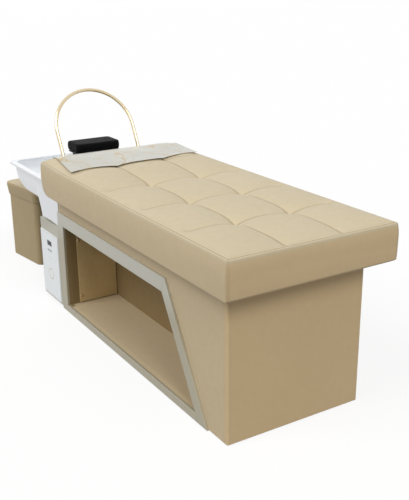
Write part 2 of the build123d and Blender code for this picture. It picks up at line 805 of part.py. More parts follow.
with BuildPart() as drain_basket:
    with BuildSketch(Plane.XY.offset(basket_seat)):
        with Locations((drain_x, 0)):
            Circle(basket_radius + basket_lip)
    extrude(amount=basket_wall)
    with BuildSketch(Plane.XY.offset(basket_seat)):
        with Locations((drain_x, 0)):
            Circle(basket_radius)
    extrude(amount=-basket_depth)
    with BuildSketch(Plane.XY.offset(flange_top)):
        with Locations((drain_x, 0)):
            Circle(basket_radius - basket_wall)
    extrude(amount=-basket_depth, mode=Mode.SUBTRACT)
    with BuildSketch(Plane.XY.offset(basket_seat - basket_depth)):
        with Locations((drain_x, 0)):
            with PolarLocations(basket_radius * 2 / 3, basket_hole_count):
                Circle(basket_hole_radius)
            with PolarLocations(basket_radius / 3, basket_hole_count // 2):
                Circle(basket_hole_radius)
    extrude(amount=basket_wall, mode=Mode.SUBTRACT)
    with BuildSketch(Plane.XY.offset(basket_seat - basket_depth)):
        with Locations((drain_x, 0)):
            Circle(basket_knob_radius)
    extrude(amount=basket_knob_height)
finish(drain_basket, "drain_basket")
with BuildPart() as drain_pipe:
    with BuildSketch(Plane.XY.offset(flange_low)):
        with Locations((drain_x, 0)):
            Circle(drain_pipe_radius)
            Circle(drain_pipe_radius - drain_pipe_wall, mode=Mode.SUBTRACT)
    extrude(amount=-(flange_low - tank_top + drain_pipe_dip))
finish(drain_pipe, "drain_pipe")

# Water arch: one bent tube, leaning to the head, with outlets along the inside of its crown
lean = Vector(-sin(radians(arch_lean)), 0, cos(radians(arch_lean)))
arch_plane = Plane(origin=(pivot_x, 0, pivot_z), x_dir=(0, 1, 0), z_dir=(lean.Z, 0, -lean.X))
tube_start = hub_collar_length - hub_socket_depth
arch_outlets = []
for index in range(outlet_count):
    turn = radians(outlet_first_angle + index * (180 - outlet_first_angle * 2) / (outlet_count - 1))
    outlet_side = arch_half_width * cos(turn)
    place = arch_plane.from_local_coords((outlet_side, arch_leg + arch_half_width * sin(turn), 0))
    centre = arch_plane.from_local_coords((0, arch_leg, 0))
    arch_outlets.append(Plane(origin=place, z_dir=centre - place))
with BuildPart() as arch_tube:
    with BuildLine(arch_plane) as arch_path:
        Line((-arch_half_width, tube_start), (-arch_half_width, arch_leg))
        RadiusArc((-arch_half_width, arch_leg), (0, arch_leg + arch_half_width), arch_half_width)
        RadiusArc((0, arch_leg + arch_half_width), (arch_half_width, arch_leg), arch_half_width)
        Line((arch_half_width, arch_leg), (arch_half_width, tube_start))
    with BuildSketch(Plane(origin=arch_path.line @ 0, z_dir=arch_path.line % 0)):
        Circle(arch_tube_radius)
        Circle(arch_tube_radius - arch_tube_wall, mode=Mode.SUBTRACT)
    sweep()
    with BuildSketch(*arch_outlets):
        Circle(outlet_radius)
    extrude(amount=arch_tube_radius + overrun, mode=Mode.SUBTRACT)
finish(arch_tube, "arch_tube")

# Swivel hubs at the arch's feet
with BuildPart() as arch_hubs:
    hub_planes = [Plane(origin=(pivot_x, side * arch_half_width - hub_width / 2, pivot_z), z_dir=(0, 1, 0))
                  for side in sides]
    collar_planes = [Plane(origin=(pivot_x, side * arch_half_width, pivot_z), z_dir=lean) for side in sides]
    with BuildSketch(*hub_planes):
        Circle(hub_radius)
    extrude(amount=hub_width)
    with BuildSketch(*collar_planes):
        Circle(hub_collar_radius)
    extrude(amount=hub_collar_length)
    with BuildSketch(*hub_planes):
        Circle(swivel_pin_radius + pin_clearance)
    extrude(amount=hub_width, mode=Mode.SUBTRACT)
    with BuildSketch(*[plane.offset(tube_start) for plane in collar_planes]):
        Circle(arch_tube_radius + pin_clearance)
    extrude(amount=hub_socket_depth, mode=Mode.SUBTRACT)
    with BuildSketch(*collar_planes):
        Circle(arch_tube_radius - arch_tube_wall)
    extrude(amount=tube_start, mode=Mode.SUBTRACT)
finish(arch_hubs, "arch_hubs")

# Swivel brackets on the basin's deck: two ears each, and a hose barb through the deck
bracket_inner_y = ear_inner_y - ear_thickness
bracket_outer_y = ear_outer_y + ear_thickness
with BuildPart() as arch_brackets:
    with BuildSketch(Plane.XY.offset(rim_top)):
        bracket_y = (bracket_inner_y + bracket_outer_y) / 2
        with Locations((pivot_x, -bracket_y), (pivot_x, bracket_y)):
            Rectangle(bracket_base_length, bracket_outer_y - bracket_inner_y)
    extrude(amount=bracket_base_thickness)
    ear_starts = (bracket_inner_y, ear_outer_y, -bracket_outer_y, -ear_inner_y)
    with BuildSketch(*[Plane(origin=(pivot_x, start, rim_top), x_dir=(1, 0, 0), z_dir=(0, 1, 0))
                       for start in ear_starts]):
        with Locations((0, -arch_pivot_height / 2)):
            Rectangle(ear_radius * 2, arch_pivot_height)
        with Locations((0, -arch_pivot_height)):
            Circle(ear_radius)
    extrude(amount=ear_thickness)
    with BuildSketch(*[Plane(origin=(pivot_x, start, pivot_z), z_dir=(0, 1, 0)) for start in ear_starts]):
        Circle(swivel_pin_radius + pin_clearance)
    extrude(amount=ear_thickness, mode=Mode.SUBTRACT)
    with BuildSketch(Plane.XY.offset(rim_top)):
        with Locations((pivot_x, -barb_y), (pivot_x, barb_y)):
            Circle(barb_radius)
    extrude(amount=-barb_length)
    with BuildSketch(Plane.XY.offset(rim_top - barb_length)):
        with Locations((pivot_x, -barb_y), (pivot_x, barb_y)):
            Circle(swivel_pin_bore)
    extrude(amount=barb_length + arch_pivot_height, mode=Mode.SUBTRACT)
finish(arch_brackets, "arch_brackets")

# Hollow swivel pins and the seal washers between hubs and ears
with BuildPart() as swivel_pins:
    for side in sides:
        with BuildSketch(Plane(origin=(pivot_x, side * bracket_inner_y, pivot_z), z_dir=(0, side, 0))):
            Circle(swivel_pin_radius)
        extrude(amount=bracket_outer_y - bracket_inner_y)
        with BuildSketch(Plane(origin=(pivot_x, side * bracket_outer_y, pivot_z), z_dir=(0, side, 0))):
            Circle(swivel_pin_head_radius)
        extrude(amount=swivel_pin_head)
        with BuildSketch(Plane(origin=(pivot_x, side * (bracket_inner_y + swivel_pin_head), pivot_z),
                               z_dir=(0, side, 0))):
            Circle(swivel_pin_bore)
        extrude(amount=arch_half_width - bracket_inner_y, mode=Mode.SUBTRACT)
        with BuildSketch(Plane(origin=(pivot_x, side * barb_y, pivot_z), z_dir=(0, 0, -1)),
                         Plane(origin=(pivot_x, side * arch_half_width, pivot_z), z_dir=lean)):
            Circle(swivel_pin_bore)
        extrude(amount=swivel_pin_radius + overrun, mode=Mode.SUBTRACT)
finish(swivel_pins, "swivel_pins")
with BuildPart() as swivel_seals:
    seal_starts = (ear_inner_y + pin_clearance, ear_outer_y - seal_thickness - pin_clearance)
    for side in sides:
        with BuildSketch(*[Plane(origin=(pivot_x, side * start, pivot_z), z_dir=(0, side, 0))
                           for start in seal_starts]):
            Circle(seal_radius)
            Circle(swivel_pin_radius + pin_clearance, mode=Mode.SUBTRACT)
        extrude(amount=seal_thickness)
finish(swivel_seals, "swivel_seals")

# Neck rest pad, dipped in the middle, on its welded plate and posts
with BuildPart() as neck_pad:
    with BuildSketch(Plane.YZ.offset(neck_x - neck_pad_length / 2)) as pad_section:
        pad_half = neck_pad_width / 2
        pad_top = neck_pad_underside + neck_pad_height
        with BuildLine():
            Polyline((neck_pad_shoulder - pad_half, pad_top), (-pad_half, pad_top),
                     (-pad_half, neck_pad_underside), (pad_half, neck_pad_underside), (pad_half, pad_top),
                     (pad_half - neck_pad_shoulder, pad_top))
            ThreePointArc((pad_half - neck_pad_shoulder, pad_top), (0, pad_top - neck_pad_dip),
                          (neck_pad_shoulder - pad_half, pad_top))
        make_face()
        outer_corners = pad_section.vertices().group_by(Axis.X)
        fillet(outer_corners[0] + outer_corners[-1], radius=neck_pad_corner_radius)
    extrude(amount=neck_pad_length)
    pad_ends = neck_pad.edges().group_by(Axis.X)
    fillet(pad_ends[0] + pad_ends[-1], radius=neck_pad_edge_radius)
finish(neck_pad, "neck_pad")
with BuildPart() as neck_frame:
    with BuildSketch(Plane.XY.offset(neck_plate_underside)):
        with Locations((neck_x, 0)):
            Rectangle(neck_pad_length - neck_plate_margin * 2, neck_post_spacing + arm_width)
    extrude(amount=neck_plate_thickness)
    with BuildSketch(Plane.XY.offset(neck_plate_underside)):
        with Locations((neck_post_x, -neck_post_y), (neck_post_x, neck_post_y)):
            Circle(neck_post_radius)
    extrude(amount=neck_post_foot - neck_plate_underside)
    chamfer(neck_frame.edges().group_by(Axis.Z)[0], length=edge_break)
finish(neck_frame, "neck_frame")

# Neck rest bracket: a plate on the deck, two arms over the bowl and a clamping sleeve on each
plate_foot = rim_foot - arm_plate_setback
plate_head = plate_foot - arm_plate_length
with BuildPart() as neck_bracket:
    with BuildSketch(Plane.XY.offset(rim_top)):
        with Locations(((plate_head + plate_foot) / 2, 0)):
            Rectangle(arm_plate_length, (neck_post_y + arm_width / 2 + arm_plate_overhang) * 2)
        arm_middle = (neck_post_x + plate_foot) / 2
        with Locations((arm_middle, -neck_post_y), (arm_middle, neck_post_y)):
            Rectangle(plate_foot - neck_post_x, arm_width)
    extrude(amount=arm_thickness)
    with BuildSketch(Plane.XY.offset(rim_top)):
        with Locations((neck_post_x, -neck_post_y), (neck_post_x, neck_post_y)):
            Circle(sleeve_radius)
    extrude(amount=sleeve_height)
    with BuildSketch(Plane.XY.offset(rim_top)):
        with Locations((neck_post_x, -neck_post_y), (neck_post_x, neck_post_y)):
            Circle(neck_post_radius + pin_clearance)
    extrude(amount=sleeve_height, mode=Mode.SUBTRACT)
    with BuildSketch(*[Plane(origin=(neck_post_x, side * neck_post_y, rim_top + knob_height),
                             z_dir=(0, side, 0)) for side in sides]):
        Circle(knob_screw_radius + pin_clearance)
    extrude(amount=sleeve_radius + overrun, mode=Mode.SUBTRACT)
finish(neck_bracket, "neck_bracket")

# Clamp knobs, one on the outer side of each sleeve
for side, knob_name in zip(sides, ("clamp_knob_near", "clamp_knob_far")):
    screw_tip = neck_post_y + neck_post_radius + pin_clearance * 2
    knob_start = neck_post_y + sleeve_radius + knob_gap
    with BuildPart() as clamp_knob:
        with BuildSketch(Plane(origin=(neck_post_x, side * knob_start, rim_top + knob_height),
                               z_dir=(0, side, 0))):
            Circle(knob_radius)
            with PolarLocations(knob_radius, knob_grip_count):
                Circle(knob_grip_radius, mode=Mode.SUBTRACT)
        extrude(amount=knob_thickness)
        with BuildSketch(Plane(origin=(neck_post_x, side * screw_tip, rim_top + knob_height),
                               z_dir=(0, side, 0))):
            Circle(knob_screw_radius)
        extrude(amount=knob_start - screw_tip)
    finish(clamp_knob, knob_name)

# Water tank and its lid
tank_x = (tank_head + tank_foot) / 2
with BuildPart() as water_tank:
    with BuildSketch(Plane.XY.offset(cabinet_floor)):
        with Locations((tank_x, 0)):
            Rectangle(tank_foot - tank_head, tank_side * 2)
    extrude(amount=tank_top - cabinet_floor)
    with BuildSketch(Plane.XY.offset(tank_top)):
        with Locations((tank_x, 0)):
            Rectangle(tank_foot - tank_head - tank_wall * 2, (tank_side - tank_wall) * 2)
    extrude(amount=-(tank_top - cabinet_floor - tank_wall), mode=Mode.SUBTRACT)
    with BuildSketch(Plane.XZ.offset(-tank_side)):
        with Locations((water_inlet_x, water_inlet_height)):
            Circle(water_inlet_radius - water_inlet_wall)
        with Locations((drain_outlet_x, drain_outlet_height)):
            Circle(drain_outlet_radius - drain_outlet_wall)
        with Locations((pump_x, pump_z)):
            Circle(pump_port_radius / 2)
    extrude(amount=tank_wall, mode=Mode.SUBTRACT)
finish(water_tank, "water_tank")
with BuildPart() as tank_lid:
    with BuildSketch(Plane.XY.offset(tank_top)):
        with Locations((tank_x, 0)):
            Rectangle(tank_foot - tank_head + tank_lid_lap * 2, (tank_side + tank_lid_lap) * 2)
        with Locations((drain_x, 0)):
            Circle(drain_pipe_radius + slip_gap, mode=Mode.SUBTRACT)
    extrude(amount=tank_lid_thickness)
finish(tank_lid, "tank_lid")

# Circulation pump beside the tank
with BuildPart() as circulation_pump:
    with BuildSketch(Plane(origin=(pump_x, pump_y, pump_z), z_dir=(0, 1, 0))):
        Circle(volute_radius)
    extrude(amount=volute_length)
    fillet(circulation_pump.edges().group_by(Axis.Y)[0], radius=edge_break)
    with BuildSketch(Plane(origin=(pump_x, pump_y + volute_length, pump_z), z_dir=(0, 1, 0))):
        Circle(pump_radius)
    extrude(amount=pump_length)
    with BuildSketch(Plane.XY.offset(cabinet_floor)):
        with Locations((pump_x, pump_y + (volute_length + pump_length) / 2)):
            Rectangle(pump_foot_width, volute_length + pump_length)
    extrude(amount=pump_z - cabinet_floor)
    with BuildSketch(Plane(origin=(pump_x, tank_side, pump_z), z_dir=(0, 1, 0))):
        Circle(pump_port_radius)
    extrude(amount=pump_tank_gap)
    with BuildSketch(Plane.XY.offset(pump_z)):
        with Locations((pump_x, pump_y + volute_length / 2)):
            Circle(pump_port_radius)
    extrude(amount=volute_radius + pump_port_length)
finish(circulation_pump, "circulation_pump")

# Heater tube on the bulkhead, with its two clips
with BuildPart() as heater_tube:
    with BuildSketch(Plane(origin=(heater_x, -heater_length / 2, heater_height), z_dir=(0, 1, 0))):
        Circle(heater_radius)
    extrude(amount=heater_length)
    fillet(heater_tube.edges().filter_by(GeomType.CIRCLE), radius=heater_radius / 6)
    with BuildSketch(Plane.XY.offset(heater_height)):
        with Locations((heater_x, heater_feed_y)):
            Circle(heater_port_radius)
    extrude(amount=-(heater_radius + heater_port_length))
    with BuildSketch(Plane.YZ.offset(heater_x)):
        with Locations((0, heater_height)):
            Circle(heater_port_radius)
    extrude(amount=pivot_x + hose_radius - heater_x)
finish(heater_tube, "heater_tube")
with BuildPart() as heater_clips:
    clip_radius = heater_radius + heater_clip_band
    for side in sides:
        clip_start = side * heater_clip_spacing / 2 - heater_clip_width / 2
        with BuildSketch(Plane(origin=(heater_x, clip_start, heater_height), x_dir=(1, 0, 0),
                               z_dir=(0, 1, 0))):
            Circle(clip_radius)
            with Locations(((pedestal_head - heater_x) / 2, 0)):
                Rectangle(pedestal_head - heater_x, heater_clip_height)
            Circle(heater_radius + pin_clearance, mode=Mode.SUBTRACT)
        extrude(amount=heater_clip_width)
finish(heater_clips, "heater_clips")

# Feed hose from the pump to the heater
feed_start = pump_z + volute_radius + pump_port_length
feed_end = heater_height - heater_radius - heater_port_length
feed_y = pump_y + volute_length / 2
feed_rise = (feed_end - feed_start) * feed_rise_share
with BuildPart() as feed_hose:
    with BuildLine() as feed_path:
        FilletPolyline((pump_x, feed_y, feed_start), (pump_x, feed_y, feed_start + feed_rise),
                       (heater_x, heater_feed_y, feed_end - feed_rise), (heater_x, heater_feed_y, feed_end),
                       radius=feed_bend_radius)
    with BuildSketch(Plane(origin=feed_path.line @ 0, z_dir=feed_path.line % 0)):
        Circle(hose_radius)
        Circle(hose_radius - hose_wall, mode=Mode.SUBTRACT)
    sweep()
finish(feed_hose, "feed_hose")

# Arch hose: one run from barb to barb, fed by the heater in its middle
hose_top = rim_top - barb_length + barb_grip
with BuildPart() as arch_hose:
    with BuildLine() as hose_path:
        FilletPolyline((pivot_x, -barb_y, hose_top), (pivot_x, -barb_y, heater_height),
                       (pivot_x, barb_y, heater_height), (pivot_x, barb_y, hose_top), radius=hose_bend_radius)
    with BuildSketch(Plane(origin=hose_path.line @ 0, z_dir=hose_path.line % 0)):
        Circle(hose_radius)
        Circle(barb_radius, mode=Mode.SUBTRACT)
    sweep()
finish(arch_hose, "arch_hose")

# Control box behind the white panel
box_floor = cabinet_floor + control_box_lift
box_half = control_panel_x - cabinet_inner_head - control_box_margin
board("control_box", (control_panel_x - box_half, control_panel_x + box_half),
      (-cabinet_inner_half, control_box_depth - cabinet_inner_half),
      (box_floor, box_floor + control_box_height))


def side_fitting(name, x, z, radius, bore, length, inner_end):
    # A round fitting through the cabinet's far side, with a flange on the outside
    outer_end = trim_face + connection_flange_thickness + length
    with BuildPart() as fitting:
        with BuildSketch(Plane.XZ.offset(-trim_face)):
            with Locations((x, z)):
                Circle(radius + connection_flange_width)
        extrude(amount=-connection_flange_thickness)
        with BuildSketch(Plane.XZ.offset(-outer_end)):
            with Locations((x, z)):
                Circle(radius)
        extrude(amount=outer_end - inner_end)
        with BuildSketch(Plane.XZ.offset(-outer_end)):
            with Locations((x, z)):
                Circle(bore)
        extrude(amount=outer_end - inner_end, mode=Mode.SUBTRACT)
    finish(fitting, name)


# Water inlet, drain outlet and cord gland on the cabinet's far side
side_fitting("water_inlet", water_inlet_x, water_inlet_height, water_inlet_radius,
             water_inlet_radius - water_inlet_wall, water_inlet_length, tank_side)
side_fitting("drain_outlet", drain_outlet_x, drain_outlet_height, drain_outlet_radius,
             drain_outlet_radius - drain_outlet_wall, drain_outlet_length, tank_side)
side_fitting("cord_gland", cord_gland_x, cord_gland_height, cord_gland_radius, cord_gland_bore,
             cord_gland_length, cabinet_inner_half)

# Stool: a box with a loose padded lid, standing a little askew behind the basin
stool_x = cushion_head - stool_setback
stool_plane = Plane(origin=(stool_x, -stool_shift, 0), z_dir=(0, 0, 1),
                    x_dir=(cos(radians(stool_turn)), sin(radians(stool_turn)), 0))
stool_inner_length = stool_length - stool_wall * 2
stool_inner_width = stool_width - stool_wall * 2
stool_inner_corner = stool_corner_radius - stool_wall
with BuildPart() as stool_box:
    with BuildSketch(stool_plane.offset(floor_gap)):
        RectangleRounded(stool_length, stool_width, stool_corner_radius)
    extrude(amount=stool_height - floor_gap)
    with BuildSketch(stool_plane.offset(floor_gap + stool_wall)):
        RectangleRounded(stool_inner_length, stool_inner_width, stool_inner_corner)
    extrude(amount=stool_height - floor_gap - stool_wall, mode=Mode.SUBTRACT)
    with BuildSketch(stool_plane):
        with GridLocations(stool_length - stool_foot_inset * 2, stool_width - stool_foot_inset * 2, 2, 2):
            Circle(glide_radius)
    extrude(amount=floor_gap)
finish(stool_box, "stool_box")
with BuildPart() as lid_board:
    with BuildSketch(stool_plane.offset(stool_height)):
        RectangleRounded(stool_length, stool_width, stool_corner_radius)
    extrude(amount=lid_board_thickness)
    with BuildSketch(stool_plane.offset(stool_height)):
        batten_length = stool_inner_length - lid_batten_gap * 2
        batten_width = stool_inner_width - lid_batten_gap * 2
        RectangleRounded(batten_length, batten_width, stool_inner_corner)
        Rectangle(batten_length - lid_batten_thickness * 2, batten_width - lid_batten_thickness * 2,
                  mode=Mode.SUBTRACT)
    extrude(amount=-lid_batten_depth)
finish(lid_board, "stool_lid_board")
with BuildPart() as lid_pad:
    for height_share, spread_share in lid_level_shares:
        inset = stool_length * (1 - spread_share)
        with BuildSketch(stool_plane.offset(stool_height + slip_gap + lid_pad_height * height_share)):
            RectangleRounded(stool_length + lid_overhang * 2 - inset, stool_width + lid_overhang * 2 - inset,
                             stool_corner_radius)
    loft()
    with BuildSketch(stool_plane.offset(stool_height)):
        RectangleRounded(stool_length, stool_width, stool_corner_radius)
    extrude(amount=lid_board_thickness, mode=Mode.SUBTRACT)
finish(lid_pad, "stool_lid_pad")
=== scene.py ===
from math import cos, exp, hypot, pi, radians, sin, sqrt

import bmesh
import bpy
from mathutils import Euler, Matrix, Vector, noise
from mathutils.bvhtree import BVHTree


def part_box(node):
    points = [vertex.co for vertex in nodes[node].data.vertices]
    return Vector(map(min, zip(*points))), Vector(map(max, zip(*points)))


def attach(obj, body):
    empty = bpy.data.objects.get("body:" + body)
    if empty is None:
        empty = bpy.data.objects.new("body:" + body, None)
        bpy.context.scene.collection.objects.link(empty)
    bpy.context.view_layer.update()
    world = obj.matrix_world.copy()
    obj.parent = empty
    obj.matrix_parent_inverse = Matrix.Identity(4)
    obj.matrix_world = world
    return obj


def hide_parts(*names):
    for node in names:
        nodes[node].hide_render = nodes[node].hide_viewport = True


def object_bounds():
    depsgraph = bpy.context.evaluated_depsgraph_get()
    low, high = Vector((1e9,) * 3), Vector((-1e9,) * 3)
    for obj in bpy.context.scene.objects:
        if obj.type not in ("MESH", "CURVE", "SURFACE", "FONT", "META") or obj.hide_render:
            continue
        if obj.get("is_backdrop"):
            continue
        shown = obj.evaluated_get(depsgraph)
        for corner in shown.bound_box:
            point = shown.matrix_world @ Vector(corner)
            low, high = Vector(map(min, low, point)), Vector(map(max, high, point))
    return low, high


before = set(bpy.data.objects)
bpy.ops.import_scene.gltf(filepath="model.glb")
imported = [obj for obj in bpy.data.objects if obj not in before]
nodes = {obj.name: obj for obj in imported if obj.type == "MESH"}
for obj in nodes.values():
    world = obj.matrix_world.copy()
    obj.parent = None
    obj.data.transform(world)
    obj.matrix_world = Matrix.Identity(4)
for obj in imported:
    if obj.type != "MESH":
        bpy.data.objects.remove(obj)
scene = bpy.context.scene
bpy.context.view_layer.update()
bpy.ops.object.select_all(action="DESELECT")

# Camera, at the photograph's viewpoint: a little above the foot end's near corner, looking
# along the bed to the basin.
camera_place = (2.5996, -1.5637, 1.5079)
camera_heading = 148.309
camera_pitch = -19.24
camera_roll = -0.496
lens_share = 803.14 / 500
bpy.ops.object.camera_add(location=camera_place)
camera = bpy.context.object
aim = Euler((radians(90 + camera_pitch), 0, radians(camera_heading - 90))).to_matrix()
camera.rotation_euler = (aim @ Matrix.Rotation(radians(camera_roll), 3, "Z")).to_euler()
camera.data.lens = lens_share * camera.data.sensor_width
scene.camera = camera

# Studio light: a broad soft key from above the near side, a weaker one from above the foot end,
# and a pale room that reads as white to the camera and in reflections.
scene.view_settings.view_transform = "Standard"
key_strength, key_spread, key_source = 1.50, 34, (-0.05, -0.71, 0.71)
fill_strength, fill_spread, fill_source = 1.26, 24, (0.70, -0.09, 0.70)
room_strength = 0.40
for name, strength, spread_angle, source in (("key", key_strength, key_spread, key_source),
                                             ("fill", fill_strength, fill_spread, fill_source)):
    bpy.ops.object.light_add(type="SUN", location=source)
    lamp = bpy.context.object
    lamp.name = name
    lamp.data.energy = strength
    lamp.data.angle = radians(spread_angle)
    lamp.rotation_euler = Vector(source).to_track_quat("Z", "Y").to_euler()


def add_node(tree, kind, attributes=None, **sockets):
    made = tree.nodes.new(kind)
    for name, value in (attributes or {}).items():
        setattr(made, name, value)
    for name, value in sockets.items():
        feed(tree, value, made.inputs[name.replace("_", " ")])
    return made


def feed(tree, value, socket):
    if isinstance(value, bpy.types.NodeSocket):
        tree.links.new(value, socket)
    else:
        socket.default_value = value


def seen_directly(tree):
    """1 for what the camera sees, also in a reflection; 0 for light that bounces."""
    rays = add_node(tree, "ShaderNodeLightPath")
    gloss = add_node(tree, "ShaderNodeMath", {"operation": "ADD"})
    feed(tree, rays.outputs["Is Glossy Ray"], gloss.inputs[0])
    feed(tree, rays.outputs["Is Transmission Ray"], gloss.inputs[1])
    either = add_node(tree, "ShaderNodeMath", {"operation": "ADD", "use_clamp": True})
    feed(tree, gloss.outputs[0], either.inputs[0])
    feed(tree, rays.outputs["Is Camera Ray"], either.inputs[1])
    return either.outputs[0]


world = bpy.data.worlds.new("pale_room")
scene.world = world
world.use_nodes = True
room = world.node_tree
room.nodes.clear()
ambient = add_node(room, "ShaderNodeBackground", Color=(1, 1, 1, 1), Strength=room_strength)
backdrop = add_node(room, "ShaderNodeBackground", Color=(1, 1, 1, 1), Strength=1)
room_mix = add_node(room, "ShaderNodeMixShader", Fac=seen_directly(room))
room.links.new(ambient.outputs[0], room_mix.inputs[1])
room.links.new(backdrop.outputs[0], room_mix.inputs[2])
room.links.new(room_mix.outputs[0], add_node(room, "ShaderNodeOutputWorld").inputs["Surface"])

# Studio floor, a plain pale sheet that only keeps the bed's soft shadow.
floor_size = 60
floor_white_share, floor_bounce, floor_seen = 0.84, 0.25, 0.95
bpy.ops.mesh.primitive_plane_add(size=floor_size)
studio_floor = bpy.context.object
studio_floor.name = "studio_floor"
floor_paint = bpy.data.materials.new("pale_floor")
floor_paint.use_nodes = True
floor_tree = floor_paint.node_tree
floor_tree.nodes.clear()
floor_tone = add_node(floor_tree, "ShaderNodeMapRange", Value=seen_directly(floor_tree))
floor_tone.inputs["To Min"].default_value = floor_bounce
floor_tone.inputs["To Max"].default_value = floor_seen
floor_matte = add_node(floor_tree, "ShaderNodeBsdfDiffuse", Color=floor_tone.outputs[0])
floor_glow = add_node(floor_tree, "ShaderNodeEmission", Color=(1, 1, 1, 1), Strength=1)
floor_share = add_node(floor_tree, "ShaderNodeMath", {"operation": "MULTIPLY"})
feed(floor_tree, seen_directly(floor_tree), floor_share.inputs[0])
feed(floor_tree, floor_white_share, floor_share.inputs[1])
floor_mix = add_node(floor_tree, "ShaderNodeMixShader", Fac=floor_share.outputs[0])
floor_tree.links.new(floor_matte.outputs[0], floor_mix.inputs[1])
floor_tree.links.new(floor_glow.outputs[0], floor_mix.inputs[2])
floor_tree.links.new(floor_mix.outputs[0], add_node(floor_tree, "ShaderNodeOutputMaterial").inputs["Surface"])
studio_floor.data.materials.append(floor_paint)
studio_floor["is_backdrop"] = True

# Leather of the cushion, pedestal and stool: pigmented all through and embossed with a fine
# pebble grain, even in colour apart from a band tone of painted shade on its sides, and darker where it is
# drawn into a seam.


def colour(red, green, blue):
    """A screen colour as the linear one that a shader takes."""
    shares = [channel / 255 for channel in (red, green, blue)]
    return tuple(s / 12.92 if s <= 0.04045 else ((s + 0.055) / 1.055) ** 2.4 for s in shares) + (1,)


def new_group(name, inputs, outputs):
    group = bpy.data.node_groups.new(name, "ShaderNodeTree")
    kinds = {"colour": "NodeSocketColor", "value": "NodeSocketFloat", "normal": "NodeSocketVector"}
    for label, kind in inputs:
        group.interface.new_socket(label, in_out="INPUT", socket_type=kinds[kind])
    for label, kind in outputs:
        group.interface.new_socket(label, in_out="OUTPUT", socket_type=kinds[kind])
    return group, add_node(group, "NodeGroupInput").outputs, add_node(group, "NodeGroupOutput").inputs


def blend_colours(tree, share, first, second, how="MIX"):
    mixed = add_node(tree, "ShaderNodeMix", {"data_type": "RGBA", "blend_type": how})
    feed(tree, share, mixed.inputs[0])
    feed(tree, first, mixed.inputs[6])
    feed(tree, second, mixed.inputs[7])
    return mixed.outputs[2]


def sums(tree, how, first, second):
    made = add_node(tree, "ShaderNodeMath", {"operation": how})
    feed(tree, first, made.inputs[0])
    feed(tree, second, made.inputs[1])
    return made.outputs[0]


def between(tree, value, low, high, new_low, new_high):
    made = add_node(tree, "ShaderNodeMapRange", Value=value)
    for label, number in (("From Min", low), ("From Max", high), ("To Min", new_low), ("To Max", new_high)):
        made.inputs[label].default_value = number
    return made.outputs[0]


def emboss(tree, height, strength, depth, target):
    """Turns a pattern's light and dark into the fine relief of a surface."""
    bump = add_node(tree, "ShaderNodeBump", Height=height, Strength=strength, Distance=depth)
    feed(tree, bump.outputs["Normal"], target["Normal"])


def object_axes(tree):
    """The X, Y and Z of each place on a piece."""
    place = add_node(tree, "ShaderNodeTexCoord").outputs["Object"]
    return add_node(tree, "ShaderNodeSeparateXYZ", Vector=place).outputs


leather_group, given, wanted = new_group(
    "pebble_leather",
    (("Tone", "colour"), ("Deep Tone", "colour"), ("Band Tone", "colour"), ("Grain", "value"),
     ("Seam", "value"), ("Band", "value")),
    (("Color", "colour"), ("Roughness", "value"), ("Normal", "normal")))
place = add_node(leather_group, "ShaderNodeTexCoord").outputs["Object"]
cloudy = add_node(leather_group, "ShaderNodeTexNoise", Vector=place, Scale=2.6, Detail=3.0)
mottled = add_node(leather_group, "ShaderNodeTexNoise", Vector=place, Scale=38.0, Detail=5.0)
pebbles = add_node(leather_group, "ShaderNodeTexVoronoi", {"feature": "SMOOTH_F1"}, Vector=place,
                   Scale=given["Grain"], Smoothness=0.6)
pores = add_node(leather_group, "ShaderNodeTexNoise", Vector=place, Scale=given["Grain"], Detail=3.0)
cloud_share = between(leather_group, cloudy.outputs["Fac"], 0.3, 0.7, 0.0, 0.12)
mottle_share = between(leather_group, mottled.outputs["Fac"], 0.35, 0.65, 0.0, 0.07)
pit_share = between(leather_group, pebbles.outputs["Distance"], 0.25, 0.75, 0.0, 0.22)
shade = sums(leather_group, "ADD", sums(leather_group, "ADD", cloud_share, mottle_share), pit_share)
panel_tone = blend_colours(leather_group, given["Band"], given["Tone"], given["Band Tone"])
dull = blend_colours(leather_group, shade, panel_tone, given["Deep Tone"])
seam_tone = colour(112, 88, 58)
feed(leather_group, blend_colours(leather_group, given["Seam"], dull, seam_tone), wanted["Color"])
feed(leather_group, between(leather_group, mottled.outputs["Fac"], 0.3, 0.7, 0.50, 0.60), wanted["Roughness"])
relief = sums(leather_group, "ADD", pores.outputs["Fac"], pebbles.outputs["Distance"])
emboss(leather_group, relief, 0.35, 0.0005, wanted)


def new_material(name, **sockets):
    made = bpy.data.materials.new(name)
    made.use_nodes = True
    shader = made.node_tree.nodes["Principled BSDF"]
    for label, value in sockets.items():
        shader.inputs[label.replace("_", " ")].default_value = value
    return made, made.node_tree, shader


def dress(material_tree, shader, group, **sockets):
    """Feeds a finish group's outputs to the shader and its settings to the group."""
    made = add_node(material_tree, "ShaderNodeGroup")
    made.node_tree = group
    for label, value in sockets.items():
        feed(material_tree, value, made.inputs[label.replace("_", " ")])
    for output in made.outputs:
        target = {"Color": "Base Color"}.get(output.name, output.name)
        if target in shader.inputs:
            material_tree.links.new(output, shader.inputs[target])
    return made


def leather(name, tone, deep_tone, band_tone, grain=620.0, seams=False, gloss=0.35, sheen=0.05, band=None):
    """Reads the piece's seam and band marks, where it has them; the band takes the band tone, painted shade
    on the cushion, pedestal and stool, and band can find the band by place instead.
    """
    made, tree, shader = new_material(name, Specular_IOR_Level=gloss, Sheen_Weight=sheen, Sheen_Roughness=0.5)
    marks = {"Seam": 0.0, "Band": band(tree) if band else 0.0}
    if seams:
        for label in marks:
            reader = add_node(tree, "ShaderNodeAttribute", {"attribute_name": label.lower()})
            marks[label] = reader.outputs["Fac"]
    dress(tree, shader, leather_group, Tone=tone, Deep_Tone=deep_tone, Band_Tone=band_tone,
          Grain=grain, **marks)
    return made
